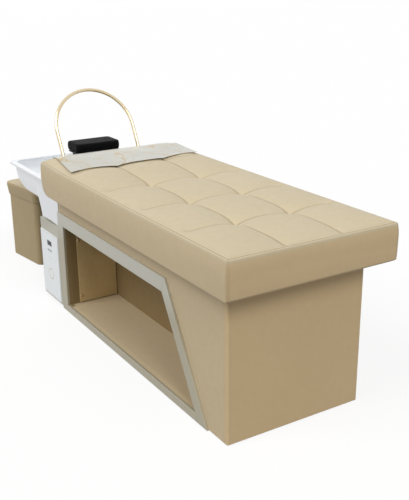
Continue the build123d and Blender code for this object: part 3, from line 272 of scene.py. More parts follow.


# Each face of one leather takes its own tone, as painted light and shade: palest on top, browner on the sides
# and browner still on the foot end, where less light falls.
top_leather, side_leather = colour(206, 193, 164), colour(208, 189, 155)
foot_shade_tone, shade_leather = colour(212, 187, 145), colour(186, 165, 127)
shaded_foot_leather = leather("shaded_foot_leather", foot_shade_tone, colour(190, 163, 120), foot_shade_tone)
cushion_leather = leather("cushion_leather", top_leather, shade_leather, foot_shade_tone, seams=True)

# Cushion: foam under leather, pulled down at the crossings of its sewn rows and columns, with
# swollen cells, a stitched border seam, drawn-in sides and a rounded lower corner at the head.
cushion_head, cushion_foot, cushion_half = -0.7575, 0.7575, 0.350
cushion_low, edge_level = 0.560, 0.702
seam_inset = 0.004
border_inset = 0.014
cell_rows, cell_columns = 5, 3
row_steps, column_steps, crowding = 26, 22, 0.8
row_pitch = (cushion_foot - cushion_head - seam_inset * 2) / cell_rows
column_pitch = (cushion_half - seam_inset) * 2 / cell_columns
row_seams = [cushion_head + seam_inset + row_pitch * k for k in range(1, cell_rows)]
column_seams = [seam_inset - cushion_half + column_pitch * k for k in range(1, cell_columns)]
crown, edge_reach, border_reach = 0.0200, 0.042, 0.012
seam_fade_start, seam_fade_end = 0.018, 0.060
head_rise, head_rise_start = 0.008, 0.52
head_swell, swell_start, swell_end, edge_fade = 0.013, 0.20, 0.48, 0.095
crown_loss, dip_loss = 0.005, 0.5
swell_depth, swell_reach = 0.0112, 0.112
pinch_depth, pinch_reach = 0.0034, 0.012
tuft_pull, tuft_reach = 0.0080, 0.030
groove_depth, groove_width = 0.0016, 0.0030
head_curve, foot_curve = 0.070, 0.007


def stations(bounds, steps):
    """Places along one direction that crowd together at every seam between the bounds."""
    found = []
    for first, last in zip(bounds, bounds[1:]):
        for step in range(steps):
            share = step / steps
            found.append(first + (last - first) * (share - crowding * sin(2 * pi * share) / (2 * pi)))
    return found + [bounds[-1]]


def soft_step(value, low, high):
    share = min(max((value - low) / (high - low), 0), 1)
    return share * share * (3 - 2 * share)


def seam_strength(y):
    """The rows' seams fade out short of the long edges."""
    return soft_step(cushion_half - abs(y), seam_fade_start, seam_fade_end)


def seam_gaps(x, y):
    """How far a place lies from the nearest row seam and the nearest column seam."""
    return min(abs(x - seam_x) for seam_x in row_seams), min(abs(y - seam_y) for seam_y in column_seams)


def seam_dip(gap):
    return swell_depth * max(1 - gap / swell_reach, 0) ** 2 + pinch_depth * exp(-gap / pinch_reach)


def cushion_top(x, y, sewn=True):
    """The top's height; sewn adds the narrow groove that the thread pulls."""
    inside = max(min(x - cushion_head, cushion_foot - x, cushion_half - abs(y)) - border_inset, 0)
    row_gap, column_gap = seam_gaps(x, y)
    strength = seam_strength(y)
    dip = strength * seam_dip(row_gap) + seam_dip(column_gap)
    if sewn:
        dip += groove_depth * (strength * exp(-(row_gap / groove_width) ** 2)
                               + exp(-(column_gap / groove_width) ** 2))
    for seam_x in row_seams:
        for seam_y in column_seams:
            dip += tuft_pull * exp(-hypot(x - seam_x, y - seam_y) / tuft_reach)
    head_share = soft_step(-x, swell_start, swell_end)
    rise = head_rise * soft_step(-x, head_rise_start, -cushion_head)
    rise += head_swell * head_share * soft_step(cushion_half - abs(y), 0, edge_fade)
    border_share = 1 - exp(-inside / border_reach)
    full_crown = crown - crown_loss * head_share
    dip *= border_share * (1 - dip_loss * head_share)
    return edge_level + rise + full_crown * (1 - exp(-inside / edge_reach)) - dip


def lower_edge(x):
    """The underside's height, with the round corners at both ends."""
    for curve, reach in ((head_curve, x - cushion_head), (foot_curve, cushion_foot - x)):
        if reach < curve:
            return cushion_low + curve - sqrt(max(curve ** 2 - (curve - reach) ** 2, 0))
    return cushion_low


def grid_faces(rows, columns):
    """The faces of a grid of points, where rows and columns count its cells."""
    wide = columns + 1
    return [(i * wide + j, (i + 1) * wide + j, (i + 1) * wide + j + 1, i * wide + j + 1)
            for i in range(rows) for j in range(columns)]


def make_mesh(name, corners, faces):
    mesh = bpy.data.meshes.new(name)
    mesh.from_pydata(corners, [], faces)
    piece = bpy.data.objects.new(name, mesh)
    scene.collection.objects.link(piece)
    return piece


def face_outwards(piece):
    mesh = bmesh.new()
    mesh.from_mesh(piece.data)
    bmesh.ops.recalc_face_normals(mesh, faces=mesh.faces)
    mesh.to_mesh(piece.data)
    mesh.free()


def select_only(piece):
    bpy.ops.object.select_all(action="DESELECT")
    piece.select_set(True)
    bpy.context.view_layer.objects.active = piece


def round_off(piece):
    """One level of subdivision, the same in the view as in a render."""
    rounding = piece.modifiers.new("rounding", "SUBSURF")
    rounding.levels = rounding.render_levels = 1
    return rounding


smooth_angle = radians(50)


def finish_piece(piece, modifier, material, body):
    """Applies the piece's last modifier, smooths it, and hangs it on its body."""
    select_only(piece)
    if modifier:
        bpy.ops.object.modifier_apply(modifier=modifier.name)
    bpy.ops.object.shade_smooth_by_angle(angle=smooth_angle)
    piece.data.materials.clear()
    piece.data.materials.append(material)
    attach(piece, body)


def mark(piece, name, values):
    """Keeps a value at each point, such as how near it is to a seam."""
    piece.data.attributes.new(name, "FLOAT", "POINT").data.foreach_set("value", values)


swelling_frames = 20


def swell(piece, hold, pressure, reach):
    """Swells a padded piece with cloth pressure; hold gives each point's pin, and reach its most movement."""
    start = [corner.co.copy() for corner in piece.data.vertices]
    pins = piece.vertex_groups.new(name="sewn")
    for corner in piece.data.vertices:
        pins.add([corner.index], hold(corner.co), "REPLACE")
    cloth = piece.modifiers.new("swelling", "CLOTH")
    cloth.settings.quality = 6
    cloth.settings.vertex_group_mass = pins.name
    cloth.settings.use_pressure = True
    cloth.settings.uniform_pressure_force = pressure
    cloth.settings.effector_weights.gravity = 0
    cloth.settings.tension_stiffness = 12
    cloth.settings.compression_stiffness = 12
    cloth.settings.bending_stiffness = 0.4
    cloth.collision_settings.use_self_collision = False
    for frame_number in range(1, swelling_frames + 1):
        scene.frame_set(frame_number)
    select_only(piece)
    bpy.ops.object.modifier_apply(modifier=cloth.name)
    scene.frame_set(1)
    for corner, place in zip(piece.data.vertices, start):
        move = corner.co - place
        if move.length > reach:
            corner.co = place + move * (reach / move.length)
    piece.vertex_groups.clear()


top_xs = stations([cushion_head + border_inset] + row_seams + [cushion_foot - border_inset], row_steps)
top_ys = stations([border_inset - cushion_half] + column_seams + [cushion_half - border_inset], column_steps)
x_count, y_count = len(top_xs), len(top_ys)
corners = [(x, y, cushion_top(x, y, False)) for x in top_xs for y in top_ys]
faces = grid_faces(x_count - 1, y_count - 1)
ring = ([(i, 0) for i in range(x_count)] + [(x_count - 1, j) for j in range(1, y_count)]
        + [(i, y_count - 1) for i in range(x_count - 2, -1, -1)]
        + [(0, j) for j in range(y_count - 2, 0, -1)])
# The border seam and the roll of the edge: how far each row lies inside the box, and its drop
roll_rows = [(0.0134, 0.0013), (0.0127, 0.0016), (0.0117, 0.0006), (0.0100, 0.0002), (0.0082, 0.0007),
             (0.0067, 0.0019), (0.0056, 0.0038), (0.0048, 0.0062)]
# The roll under the lower edge: each row's inset, and its height over the underside
foot_rows = [(0.0036, 0.0036), (0.0058, 0.0012), (0.0100, 0.0)]
side_steps = 18
waist, pull_above, pull_below = 0.45, 0.0046, 0.0026
wave_height, wave_scale, wave_turns = 0.0007, 5, 3
slack_depth, slack_level, slack_spread = 0.0012, 0.48, 0.20
border_mark, corner_mark = 0.9, 0.32
side_rows = [(inset, drop, 0.0) for inset, drop in roll_rows]
for step in range(1, side_steps + 1):
    share = step / side_steps
    inset = pull_above * max(1 - share / waist, 0) ** 2
    inset += pull_below * max((share - waist) / (1 - waist), 0) ** 2
    side_rows.append((inset, roll_rows[-1][1], share))
side_rows += [(inset, -rise, 1.0) for inset, rise in foot_rows]
seam_marks = [0.0] * len(corners)
previous = [i * y_count + j for i, j in ring]
for row, (inset, drop, share) in enumerate(side_rows):
    current = []
    for i, j in ring:
        out_x = (i == x_count - 1) - (i == 0)
        out_y = (j == y_count - 1) - (j == 0)
        x, y = top_xs[i], top_ys[j]
        under = lower_edge(min(max(x + out_x * border_inset, cushion_head), cushion_foot)) + foot_rows[0][1]
        high = cushion_top(x, y, False) - roll_rows[-1][1]
        wave = wave_height * noise.noise(Vector((x * wave_scale, y * wave_scale, share * wave_turns)))
        wave *= sin(pi * share)
        slack = -slack_depth * exp(-((share - slack_level) / slack_spread) ** 2) * abs(out_x)
        outset = border_inset - inset + wave + slack
        level = high + roll_rows[-1][1] - drop if share == 0 else high - share * (high - under)
        if drop < 0 or row == len(side_rows) - 1:
            level = under - foot_rows[0][1] - drop
        current.append(len(corners))
        corners.append((x + out_x * outset, y + out_y * outset, level))
        at_corner = corner_mark * abs(out_x * out_y) * (out_x > 0)
        seam_marks.append(max(border_mark * (row in (0, 1)), at_corner))
    count = len(ring)
    faces += [(previous[k], current[k], current[(k + 1) % count], previous[(k + 1) % count])
              for k in range(count)]
    previous = current
# The underside: strips from the near edge to the far one, and one face along each end
near_edge = previous[:x_count]
far_edge = previous[x_count + y_count - 2:x_count * 2 + y_count - 2][::-1]
faces += [(near_edge[k], far_edge[k], far_edge[k + 1], near_edge[k + 1]) for k in range(1, x_count - 2)]
faces.append([near_edge[1], near_edge[0]] + previous[:x_count * 2 + y_count - 4:-1]
             + [far_edge[0], far_edge[1]])
faces.append([far_edge[-2]] + previous[x_count - 1:x_count + y_count - 1][::-1] + [near_edge[-2]])
cushion = make_mesh("cushion", corners, faces)
face_outwards(cushion)
pin_gap, pin_fade, pin_border, pin_depth = 0.003, 0.02, 0.018, 0.022


def cushion_hold(place):
    """Full pins on the seams, the border and the sides; slack in the middle of each cell."""
    row_gap, column_gap = seam_gaps(place.x, place.y)
    row_gap += (1 - seam_strength(place.y)) * pin_fade
    border_gap = min(place.x - cushion_head, cushion_foot - place.x, cushion_half - abs(place.y)) - pin_border
    pinned = min(row_gap, column_gap, border_gap) < pin_gap or place.z < edge_level - pin_depth
    return 1.0 if pinned else 0.0


swell(cushion, cushion_hold, pressure=3.0, reach=0.005)
cell_mark, mark_reach, mark_fade = 0.6, 0.0024, 0.010
# The band: painted shade, the foot end's browner tone on the cushion's sides, in full on the foot end and at
# half on the long sides.
foot_depth, long_side_share, band_low, band_high = 0.012, 0.5, 0.020, 0.002
shade_band_marks = []
for corner in cushion.data.vertices:
    x, y, z = corner.co
    if corner.index < x_count * y_count:
        corner.co.z -= cushion_top(x, y, False) - cushion_top(x, y)
        row_gap, column_gap = seam_gaps(x, y)
        border_share = soft_step(min(x - cushion_head, cushion_foot - x) - border_inset, 0, mark_fade)
        sewn = max(seam_strength(y) * exp(-(row_gap / mark_reach) ** 2),
                   exp(-(column_gap / mark_reach) ** 2))
        seam_marks[corner.index] = cell_mark * sewn * border_share
    side_share = 1 if x > cushion_foot - foot_depth else long_side_share
    shade_band_marks.append(side_share * (1 - soft_step(z, edge_level - band_low, edge_level - band_high)))
mark(cushion, "seam", seam_marks)
mark(cushion, "band", shade_band_marks)
finish_piece(cushion, round_off(cushion), cushion_leather, "bed")
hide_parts("mattress")

# Top-stitching of the cushion: twisted thread in short stitches, on the top inside the seam round the
# top edge at the long sides and the foot end, and on both sides of the seams down the two foot corners.
thread, thread_tree, thread_shader = new_material("thread", Roughness=0.6)
thread_place = add_node(thread_tree, "ShaderNodeTexCoord").outputs["Object"]
fibres = add_node(thread_tree, "ShaderNodeTexNoise", Vector=thread_place, Scale=2400.0, Detail=4.0)
thread_tone, thread_shade = colour(178, 158, 122), colour(132, 112, 80)
feed(thread_tree, blend_colours(thread_tree, fibres.outputs["Fac"], thread_tone, thread_shade),
     thread_shader.inputs["Base Color"])
emboss(thread_tree, fibres.outputs["Fac"], 0.4, 0.0003, thread_shader.inputs)
stitch_pitch, stitch_length, stitch_width = 0.0065, 0.0046, 0.0011
bpy.ops.mesh.primitive_cone_add(vertices=6, radius1=stitch_width / 2, depth=stitch_length / 2,
                                end_fill_type="NOTHING", location=(0, 0, stitch_length / 4))
stitch = bpy.context.object
bpy.ops.object.transform_apply(location=True)
bpy.ops.object.mode_set(mode="EDIT")
bpy.ops.mesh.select_mode(type="EDGE")
bpy.ops.mesh.select_all(action="DESELECT")
bpy.ops.mesh.select_non_manifold()
bpy.ops.mesh.extrude_edges_move(TRANSFORM_OT_translate={"value": (0, 0, -stitch_length / 2)})
bpy.ops.mesh.merge(type="CENTER")
bpy.ops.object.mode_set(mode="OBJECT")
stitch_corners = [corner.co.copy() for corner in stitch.data.vertices]
stitch_faces = [tuple(face.vertices) for face in stitch.data.polygons]
bpy.data.objects.remove(stitch)
ends_sunk = stitch_width * 0.4
search_height = 0.05


def sewn_lines(name, cloth_piece, lines, body):
    """Copies of the stitch laid on a piece; each line is a start, an end and the direction that it faces."""
    surface = BVHTree.FromObject(cloth_piece, bpy.context.evaluated_depsgraph_get())
    corners, faces = [], []
    for start, end, facing in lines:
        start, end, facing = Vector(start), Vector(end), Vector(facing)
        run = end - start
        for step in range(int(run.length / stitch_pitch)):
            place = start + run * ((step + 0.5) * stitch_pitch / run.length)
            hit, normal, _, _ = surface.ray_cast(place + facing * search_height, -facing)
            if hit is None:
                continue
            along = (run - normal * run.dot(normal)).normalized()
            across = normal.cross(along)
            first = len(corners)
            for x, y, z in stitch_corners:
                sunk = ends_sunk * abs(z) / (stitch_length / 2)
                corners.append(hit + across * x + normal * (y - sunk) + along * z)
            faces += [tuple(first + k for k in face) for face in stitch_faces]
    piece = make_mesh(name, corners, faces)
    face_outwards(piece)
    finish_piece(piece, None, thread, body)


top_inset = 0.0215
corner_inset = 0.0085
corner_seam_top = edge_level - 0.018
edge_lines = []
for side in (-1, 1):
    edge_lines.append(((cushion_head + top_inset, side * (cushion_half - top_inset), edge_level),
                       (cushion_foot - top_inset, side * (cushion_half - top_inset), edge_level), (0, 0, 1)))
    edge_lines.append(((cushion_foot - corner_inset, side * cushion_half, cushion_low + foot_curve),
                       (cushion_foot - corner_inset, side * cushion_half, corner_seam_top), (0, side, 0)))
    edge_lines.append(((cushion_foot, side * (cushion_half - corner_inset), cushion_low + foot_curve),
                       (cushion_foot, side * (cushion_half - corner_inset), corner_seam_top), (1, 0, 0)))
edge_lines.append(((cushion_foot - top_inset, top_inset - cushion_half, edge_level),
                   (cushion_foot - top_inset, cushion_half - top_inset, edge_level), (0, 0, 1)))
sewn_lines("cushion_stitches", cushion, edge_lines, "bed")

# Sheet over the head row of cells: thin glossy vinyl, pale grey with gold-beige veins, laid loose
# and a little askew, so that it bridges the seams under it.
sheet_rows, sheet_columns = 44, 88
sheet_thickness = 0.0008
sheet_lift = 0.0012
sheet_head = -0.756
sheet_near = (-0.286, -0.322)
sheet_far = (0.323, 0.306)
sheet_foot = (-0.462, -0.486)
sheet_foot_bow = 0.022
edge_wander, wander_scale, wander_slice = 0.004, 5, 0.3
ripple_height, ripple_along, ripple_across, ripple_slice = 0.0006, 8, 7, 2.1
settling_rounds, bridge = 150, 0.0080
cushion_surface = BVHTree.FromObject(cushion, bpy.context.evaluated_depsgraph_get())


def lying_height(x, y):
    hit = cushion_surface.ray_cast(Vector((x, y, 1)), Vector((0, 0, -1)))[0]
    return hit.z if hit else edge_level


sheet_places = []
for i in range(sheet_rows + 1):
    along = i / sheet_rows
    for j in range(sheet_columns + 1):
        across = j / sheet_columns
        foot = sheet_foot[0] + (sheet_foot[1] - sheet_foot[0]) * across + sheet_foot_bow * sin(pi * across)
        foot += edge_wander * noise.noise(Vector((wander_slice, across * wander_scale, 0)))
        near = sheet_near[0] + (sheet_near[1] - sheet_near[0]) * along
        far = sheet_far[0] + (sheet_far[1] - sheet_far[0]) * along
        sheet_places.append((sheet_head + (foot - sheet_head) * along, near + (far - near) * across))
row_length = sheet_columns + 1
resting = [lying_height(x, y) for x, y in sheet_places]
neighbours = []
for i in range(sheet_rows + 1):
    for j in range(sheet_columns + 1):
        beside = [(i - 1, j), (i + 1, j), (i, j - 1), (i, j + 1)]
        neighbours.append([a * row_length + b for a, b in beside
                           if 0 <= a <= sheet_rows and 0 <= b <= sheet_columns])
settled = list(resting)
for _ in range(settling_rounds):
    settled = [min(max(rest, sum(settled[k] for k in beside) / len(beside)), rest + bridge)
               for rest, beside in zip(resting, neighbours)]
sheet_corners = []
for (x, y), z in zip(sheet_places, settled):
    ripple = max(noise.noise(Vector((x * ripple_along, y * ripple_across, ripple_slice))), 0)
    sheet_corners.append((x, y, z + sheet_lift + ripple_height * ripple))
laid_sheet = make_mesh("laid_sheet", sheet_corners, grid_faces(sheet_rows, sheet_columns))
face_outwards(laid_sheet)
gauge = laid_sheet.modifiers.new("gauge", "SOLIDIFY")
gauge.thickness = sheet_thickness
gauge.offset = 1

vinyl, vinyl_tree, vinyl_shader = new_material("veined_vinyl", Specular_IOR_Level=0.5, Coat_Weight=0.25,
                                               Coat_Roughness=0.15)
vinyl_place = add_node(vinyl_tree, "ShaderNodeTexCoord").outputs["Object"]


def vein_mask(scale, offset, width):
    """Thin curved lines where a soft noise crosses its middle value."""
    moved = add_node(vinyl_tree, "ShaderNodeMapping", Vector=vinyl_place)
    moved.inputs["Location"].default_value = (offset, -offset, 0)
    field = add_node(vinyl_tree, "ShaderNodeTexNoise", Vector=moved.outputs[0], Scale=scale,
                     Detail=2.5, Roughness=0.45)
    away = sums(vinyl_tree, "ABSOLUTE", sums(vinyl_tree, "SUBTRACT", field.outputs["Fac"], 0.5), 0.0)
    return between(vinyl_tree, away, 0.0, width, 1.0, 0.0)


clouds = add_node(vinyl_tree, "ShaderNodeTexNoise", Vector=vinyl_place, Scale=9.0, Detail=3.0)
patches = add_node(vinyl_tree, "ShaderNodeTexNoise", Vector=vinyl_place, Scale=5.0, Detail=1.0)
grey = blend_colours(vinyl_tree, clouds.outputs["Fac"], colour(200, 199, 190), colour(188, 186, 174))
main_veins = sums(vinyl_tree, "MULTIPLY", vein_mask(5.4, 3.1, 0.018),
                  between(vinyl_tree, patches.outputs["Fac"], 0.36, 0.50, 0.35, 1.0))
fine_veins = sums(vinyl_tree, "MULTIPLY", vein_mask(12.0, 7.7, 0.016), 0.40)
vein_share = sums(vinyl_tree, "MAXIMUM", main_veins, fine_veins)
vein_tone = colour(186, 158, 106)
feed(vinyl_tree, blend_colours(vinyl_tree, vein_share, grey, vein_tone), vinyl_shader.inputs["Base Color"])
feed(vinyl_tree, between(vinyl_tree, clouds.outputs["Fac"], 0.3, 0.7, 0.30, 0.40),
     vinyl_shader.inputs["Roughness"])
emboss(vinyl_tree, clouds.outputs["Fac"], 0.05, 0.001, vinyl_shader.inputs)
finish_piece(laid_sheet, gauge, vinyl, "bed")
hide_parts("head_sheet")

# Pedestal: leather-covered side and foot panels with a sewn seam down each foot corner, and painted
# shade, a darker tone, on the side panels' cut edge at the niche's head end.


def cover(node_names, material):
    """Gives CAD nodes their finish."""
    for node_name in node_names:
        node = nodes[node_name]
        node.data.materials.clear()
        node.data.materials.append(material)


panel_face, niche_head = 0.2845, -0.640


def reveal_shade_share(tree):
    """The cut edge of a side panel at the niche's head end, which gets a darker tone of painted shade."""
    place = object_axes(tree)
    behind = sums(tree, "LESS_THAN", sums(tree, "ABSOLUTE", place["Y"], 0.0), panel_face)
    return sums(tree, "MULTIPLY", behind, sums(tree, "LESS_THAN", place["X"], niche_head))


# The band tone here is painted shade on the cut edge inside the niche.
panel_leather = leather("panel_leather", side_leather, shade_leather, colour(128, 106, 68), band=reveal_shade_share)
cover(("side_panel_near", "side_panel_far"), panel_leather)
# The foot panel takes the foot end's browner tone: painted shade.
cover(("foot_panel",), shaded_foot_leather)
pedestal_foot, pedestal_half = 0.6635, 0.285
panel_thickness, side_seam_inset, foot_seam_inset = 0.018, 0.006, 0.014
seam_low, seam_high = 0.012, 0.550
side_seam_x = pedestal_foot - panel_thickness - side_seam_inset
for name, node_name, side in (("near_corner_stitches", "side_panel_near", -1),
                              ("far_corner_stitches", "side_panel_far", 1)):
    seam_y = side * pedestal_half
    sewn_lines(name, nodes[node_name],
               [((side_seam_x, seam_y, seam_low), (side_seam_x, seam_y, seam_high), (0, side, 0))], "bed")
foot_lines = []
for side in (-1, 1):
    seam_y = side * (pedestal_half - foot_seam_inset)
    foot_lines.append(((pedestal_foot, seam_y, seam_low), (pedestal_foot, seam_y, seam_high), (1, 0, 0)))
sewn_lines("foot_corner_stitches", nodes["foot_panel"], foot_lines, "bed")

# Niche: boards covered with the same leather, toned with painted light and shade: lighter on the shelf and
# the slanting end board and darkest, as painted shade, on the back, the head wall and the ceiling.
shelf_tone, slope_tone, shaded_back_tone = colour(203, 184, 151), colour(194, 170, 127), colour(140, 118, 79)
shelf_leather = leather("shelf_leather", shelf_tone, colour(178, 157, 121), shelf_tone)
slope_leather = leather("slope_leather", slope_tone, colour(170, 146, 104), slope_tone)
shaded_back_leather = leather("shaded_back_leather", shaded_back_tone, colour(118, 97, 60), shaded_back_tone)
cover(("base_board",), shelf_leather)
cover(("niche_slope",), slope_leather)
cover(("niche_back_near", "niche_back_far", "niche_head_wall", "niche_ceiling"), shaded_back_leather)

# Hidden structure: the boards under the cushion and the stool's lid, the ribs and the bulkhead, of
# pale birch with a fine grain along their length.
board_wood, wood_tree, wood_shader = new_material("birch_board", Roughness=0.6)
wood_place = add_node(wood_tree, "ShaderNodeTexCoord").outputs["Object"]
wood_turn = add_node(wood_tree, "ShaderNodeMapping", Vector=wood_place)
wood_turn.inputs["Scale"].default_value = (1.0, 9.0, 9.0)
figure = add_node(wood_tree, "ShaderNodeTexNoise", Vector=wood_turn.outputs[0], Scale=6.0, Detail=6.0)
fibre = add_node(wood_tree, "ShaderNodeTexNoise", Vector=wood_turn.outputs[0], Scale=70.0, Detail=3.0)
wood_mix = blend_colours(wood_tree, figure.outputs["Fac"], colour(205, 178, 138), colour(172, 140, 98))
fibre_share = between(wood_tree, fibre.outputs["Fac"], 0.4, 0.7, 0.0, 0.35)
feed(wood_tree, blend_colours(wood_tree, fibre_share, wood_mix, colour(140, 108, 72)),
     wood_shader.inputs["Base Color"])
emboss(wood_tree, fibre.outputs["Fac"], 0.2, 0.0004, wood_shader.inputs)
cover(("mattress_board", "top_deck", "head_bulkhead", "deck_ribs", "stool_lid_board"), board_wood)

# Painted metal of the cabinet and the trim frames: champagne grey, sprayed, with a faint fleck. The
# trim's top bar is paler than what lies lower, which is painted shade.
sprayed_group, given, wanted = new_group(
    "sprayed_skin",
    (("Tone", "colour"), ("Deep Tone", "colour"), ("Fleck Tone", "colour"), ("Fleck", "value"),
     ("Fleck Size", "value"), ("Low Gloss", "value"), ("High Gloss", "value")),
    (("Color", "colour"), ("Roughness", "value"), ("Normal", "normal")))
place = add_node(sprayed_group, "ShaderNodeTexCoord").outputs["Object"]
haze = add_node(sprayed_group, "ShaderNodeTexNoise", Vector=place, Scale=5.0, Detail=4.0)
skin = add_node(sprayed_group, "ShaderNodeTexNoise", Vector=place, Scale=420.0, Detail=2.0)
dots = add_node(sprayed_group, "ShaderNodeTexNoise", Vector=place, Scale=given["Fleck Size"], Detail=1.0)
hazed = blend_colours(sprayed_group, between(sprayed_group, haze.outputs["Fac"], 0.35, 0.65, 0.0, 1.0),
                      given["Tone"], given["Deep Tone"])
dot_share = sums(sprayed_group, "MULTIPLY", between(sprayed_group, dots.outputs["Fac"], 0.62, 0.72, 0.0, 1.0),
                 given["Fleck"])
feed(sprayed_group, blend_colours(sprayed_group, dot_share, hazed, given["Fleck Tone"]), wanted["Color"])
gloss_gap = sums(sprayed_group, "SUBTRACT", given["High Gloss"], given["Low Gloss"])
gloss_part = sums(sprayed_group, "MULTIPLY", haze.outputs["Fac"], gloss_gap)
feed(sprayed_group, sums(sprayed_group, "ADD", given["Low Gloss"], gloss_part), wanted["Roughness"])
emboss(sprayed_group, skin.outputs["Fac"], 0.12, 0.0003, wanted)


def sprayed(name, tone, deep_tone, fleck_tone, fleck, fleck_size, glosses, **shader_values):
    made, tree, shader = new_material(name, **shader_values)
    dress(tree, shader, sprayed_group, Tone=tone, Deep_Tone=deep_tone, Fleck_Tone=fleck_tone, Fleck=fleck,
          Fleck_Size=fleck_size, Low_Gloss=glosses[0], High_Gloss=glosses[1])
    return made


def retone(tree, tone):
    """Gives a sprayed finish a tone that changes from place to place."""
    for node in tree.nodes:
        if node.type == "GROUP":
            feed(tree, tone, node.inputs["Tone"])
            feed(tree, tone, node.inputs["Deep Tone"])


champagne = sprayed("champagne_paint", colour(192, 189, 174), colour(181, 178, 162),
                    colour(206, 194, 164), 0.4, 260.0, (0.30, 0.44), Metallic=0.15)
cover(("cabinet_side_near", "cabinet_side_far", "cabinet_end", "cabinet_top", "cabinet_base"), champagne)
trim_paint = sprayed("trim_paint", colour(202, 200, 186), colour(196, 193, 178), colour(206, 190, 156), 0.4,
                     260.0, (0.28, 0.40), Metallic=0.15)
trim_tree = trim_paint.node_tree
trim_place = object_axes(trim_tree)
# The trim darkens from its top bar downwards: painted shade.
trim_low, trim_high = 0.34, 0.44
trim_shade_tone = blend_colours(trim_tree, between(trim_tree, trim_place["Z"], trim_low, trim_high, 0.0, 1.0),
                          colour(172, 165, 143), colour(194, 192, 179))
retone(trim_tree, trim_shade_tone)
cover(("trim_frame_near", "trim_frame_far"), trim_paint)

# Service panels at the niche's head end with their round cap screws, and the brushed metal of the
# screws, drain, heater, arch swivels and water inlet.
service_paint = sprayed("service_paint", colour(216, 192, 142), colour(198, 172, 124),
                        colour(180, 156, 110), 0.3, 90.0, (0.35, 0.5))
cover(("service_panel_near", "service_panel_far"), service_paint)
steel_group, given, wanted = new_group("brushed_metal", (("Tone", "colour"), ("Streak", "value")),
                                       (("Color", "colour"), ("Roughness", "value"), ("Normal", "normal")))
place = add_node(steel_group, "ShaderNodeTexCoord").outputs["Object"]
stretch = add_node(steel_group, "ShaderNodeMapping", Vector=place)
stretch.inputs["Scale"].default_value = (1.0, 1.0, 24.0)
streaks = add_node(steel_group, "ShaderNodeTexNoise", Vector=stretch.outputs[0], Scale=given["Streak"],
                   Detail=3.0).outputs["Fac"]
feed(steel_group, blend_colours(steel_group, between(steel_group, streaks, 0.3, 0.7, 0.0, 0.25),
                                given["Tone"], colour(120, 118, 114)), wanted["Color"])
feed(steel_group, between(steel_group, streaks, 0.3, 0.7, 0.22, 0.36), wanted["Roughness"])
emboss(steel_group, streaks, 0.1, 0.0002, wanted)


def brushed(name, tone, streak=160.0):
    made, tree, shader = new_material(name, Metallic=1.0)
    dress(tree, shader, steel_group, Tone=tone, Streak=streak)
    return made


steel = brushed("brushed_steel", colour(205, 204, 200))
brass = brushed("satin_brass", colour(206, 176, 110))
champagne_metal = brushed("champagne_metal", colour(206, 190, 158), 220.0)
cover(("cap_screws",), champagne_metal)
cover(("drain_flange", "drain_basket", "swivel_pins", "heater_tube", "heater_clips", "arch_brackets"), steel)
cover(("water_inlet",), brass)

# Moulded pieces: dark floor glides, seals, knobs, pump and cord gland, pale tank and drain, and the
# rubber hoses.
dark_mould = sprayed("dark_mould", colour(34, 34, 36), colour(24, 24, 26), colour(60, 60, 62),
                     0.3, 500.0, (0.4, 0.6))
pale_mould = sprayed("pale_mould", colour(222, 224, 224), colour(206, 208, 208), colour(236, 236, 236),
                     0.3, 300.0, (0.35, 0.5))
hose_rubber = sprayed("hose_rubber", colour(40, 40, 42), colour(28, 28, 30), colour(70, 70, 70),
                      0.2, 400.0, (0.5, 0.7))
cover(("floor_glides", "swivel_seals", "circulation_pump", "control_box", "clamp_knob_near", "clamp_knob_far",
       "cord_gland"), dark_mould)
cover(("water_tank", "tank_lid", "drain_pipe", "drain_nut", "drain_outlet"), pale_mould)
cover(("feed_hose", "arch_hose"), hose_rubber)

# White panel on the cabinet: a glossy moulded plate with a dark window and three buttons, and a
# printed border line, short rule and ring.
white_tone = colour(246, 250, 252)
panel_white = sprayed("panel_white", white_tone, colour(240, 245, 248), colour(250, 252, 253),
                      0.2, 350.0, (0.18, 0.28))
window_dark = sprayed("window_dark", colour(18, 15, 12), colour(9, 8, 8), colour(30, 26, 20),
                      0.2, 200.0, (0.20, 0.30), Specular_IOR_Level=0.2)
button_grey = sprayed("button_grey", colour(176, 174, 162), colour(160, 158, 146), colour(190, 188, 176),
                      0.2, 500.0, (0.35, 0.5))
panel_tree = panel_white.node_tree
panel_place = object_axes(panel_tree)
panel_low, panel_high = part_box("control_panel")
panel_middle = ((panel_low[0] + panel_high[0]) / 2, (panel_low[2] + panel_high[2]) / 2)
line_half, border_gap = 0.0006, 0.007
ring_height, ring_radius, ring_line_half = 0.140, 0.026, 0.0022
rule_height, rule_half = 0.222, 0.028


def panel_gap(axis, middle, half):
    """How far a place lies outside a band that is twice half wide; less than 0 inside it."""
    away = sums(panel_tree, "ABSOLUTE", sums(panel_tree, "SUBTRACT", panel_place[axis], middle), 0.0)
    return sums(panel_tree, "SUBTRACT", away, half)


def panel_line(gap, half=line_half):
    """A printed line where the gap is near 0."""
    return sums(panel_tree, "LESS_THAN", sums(panel_tree, "ABSOLUTE", gap, 0.0), half)


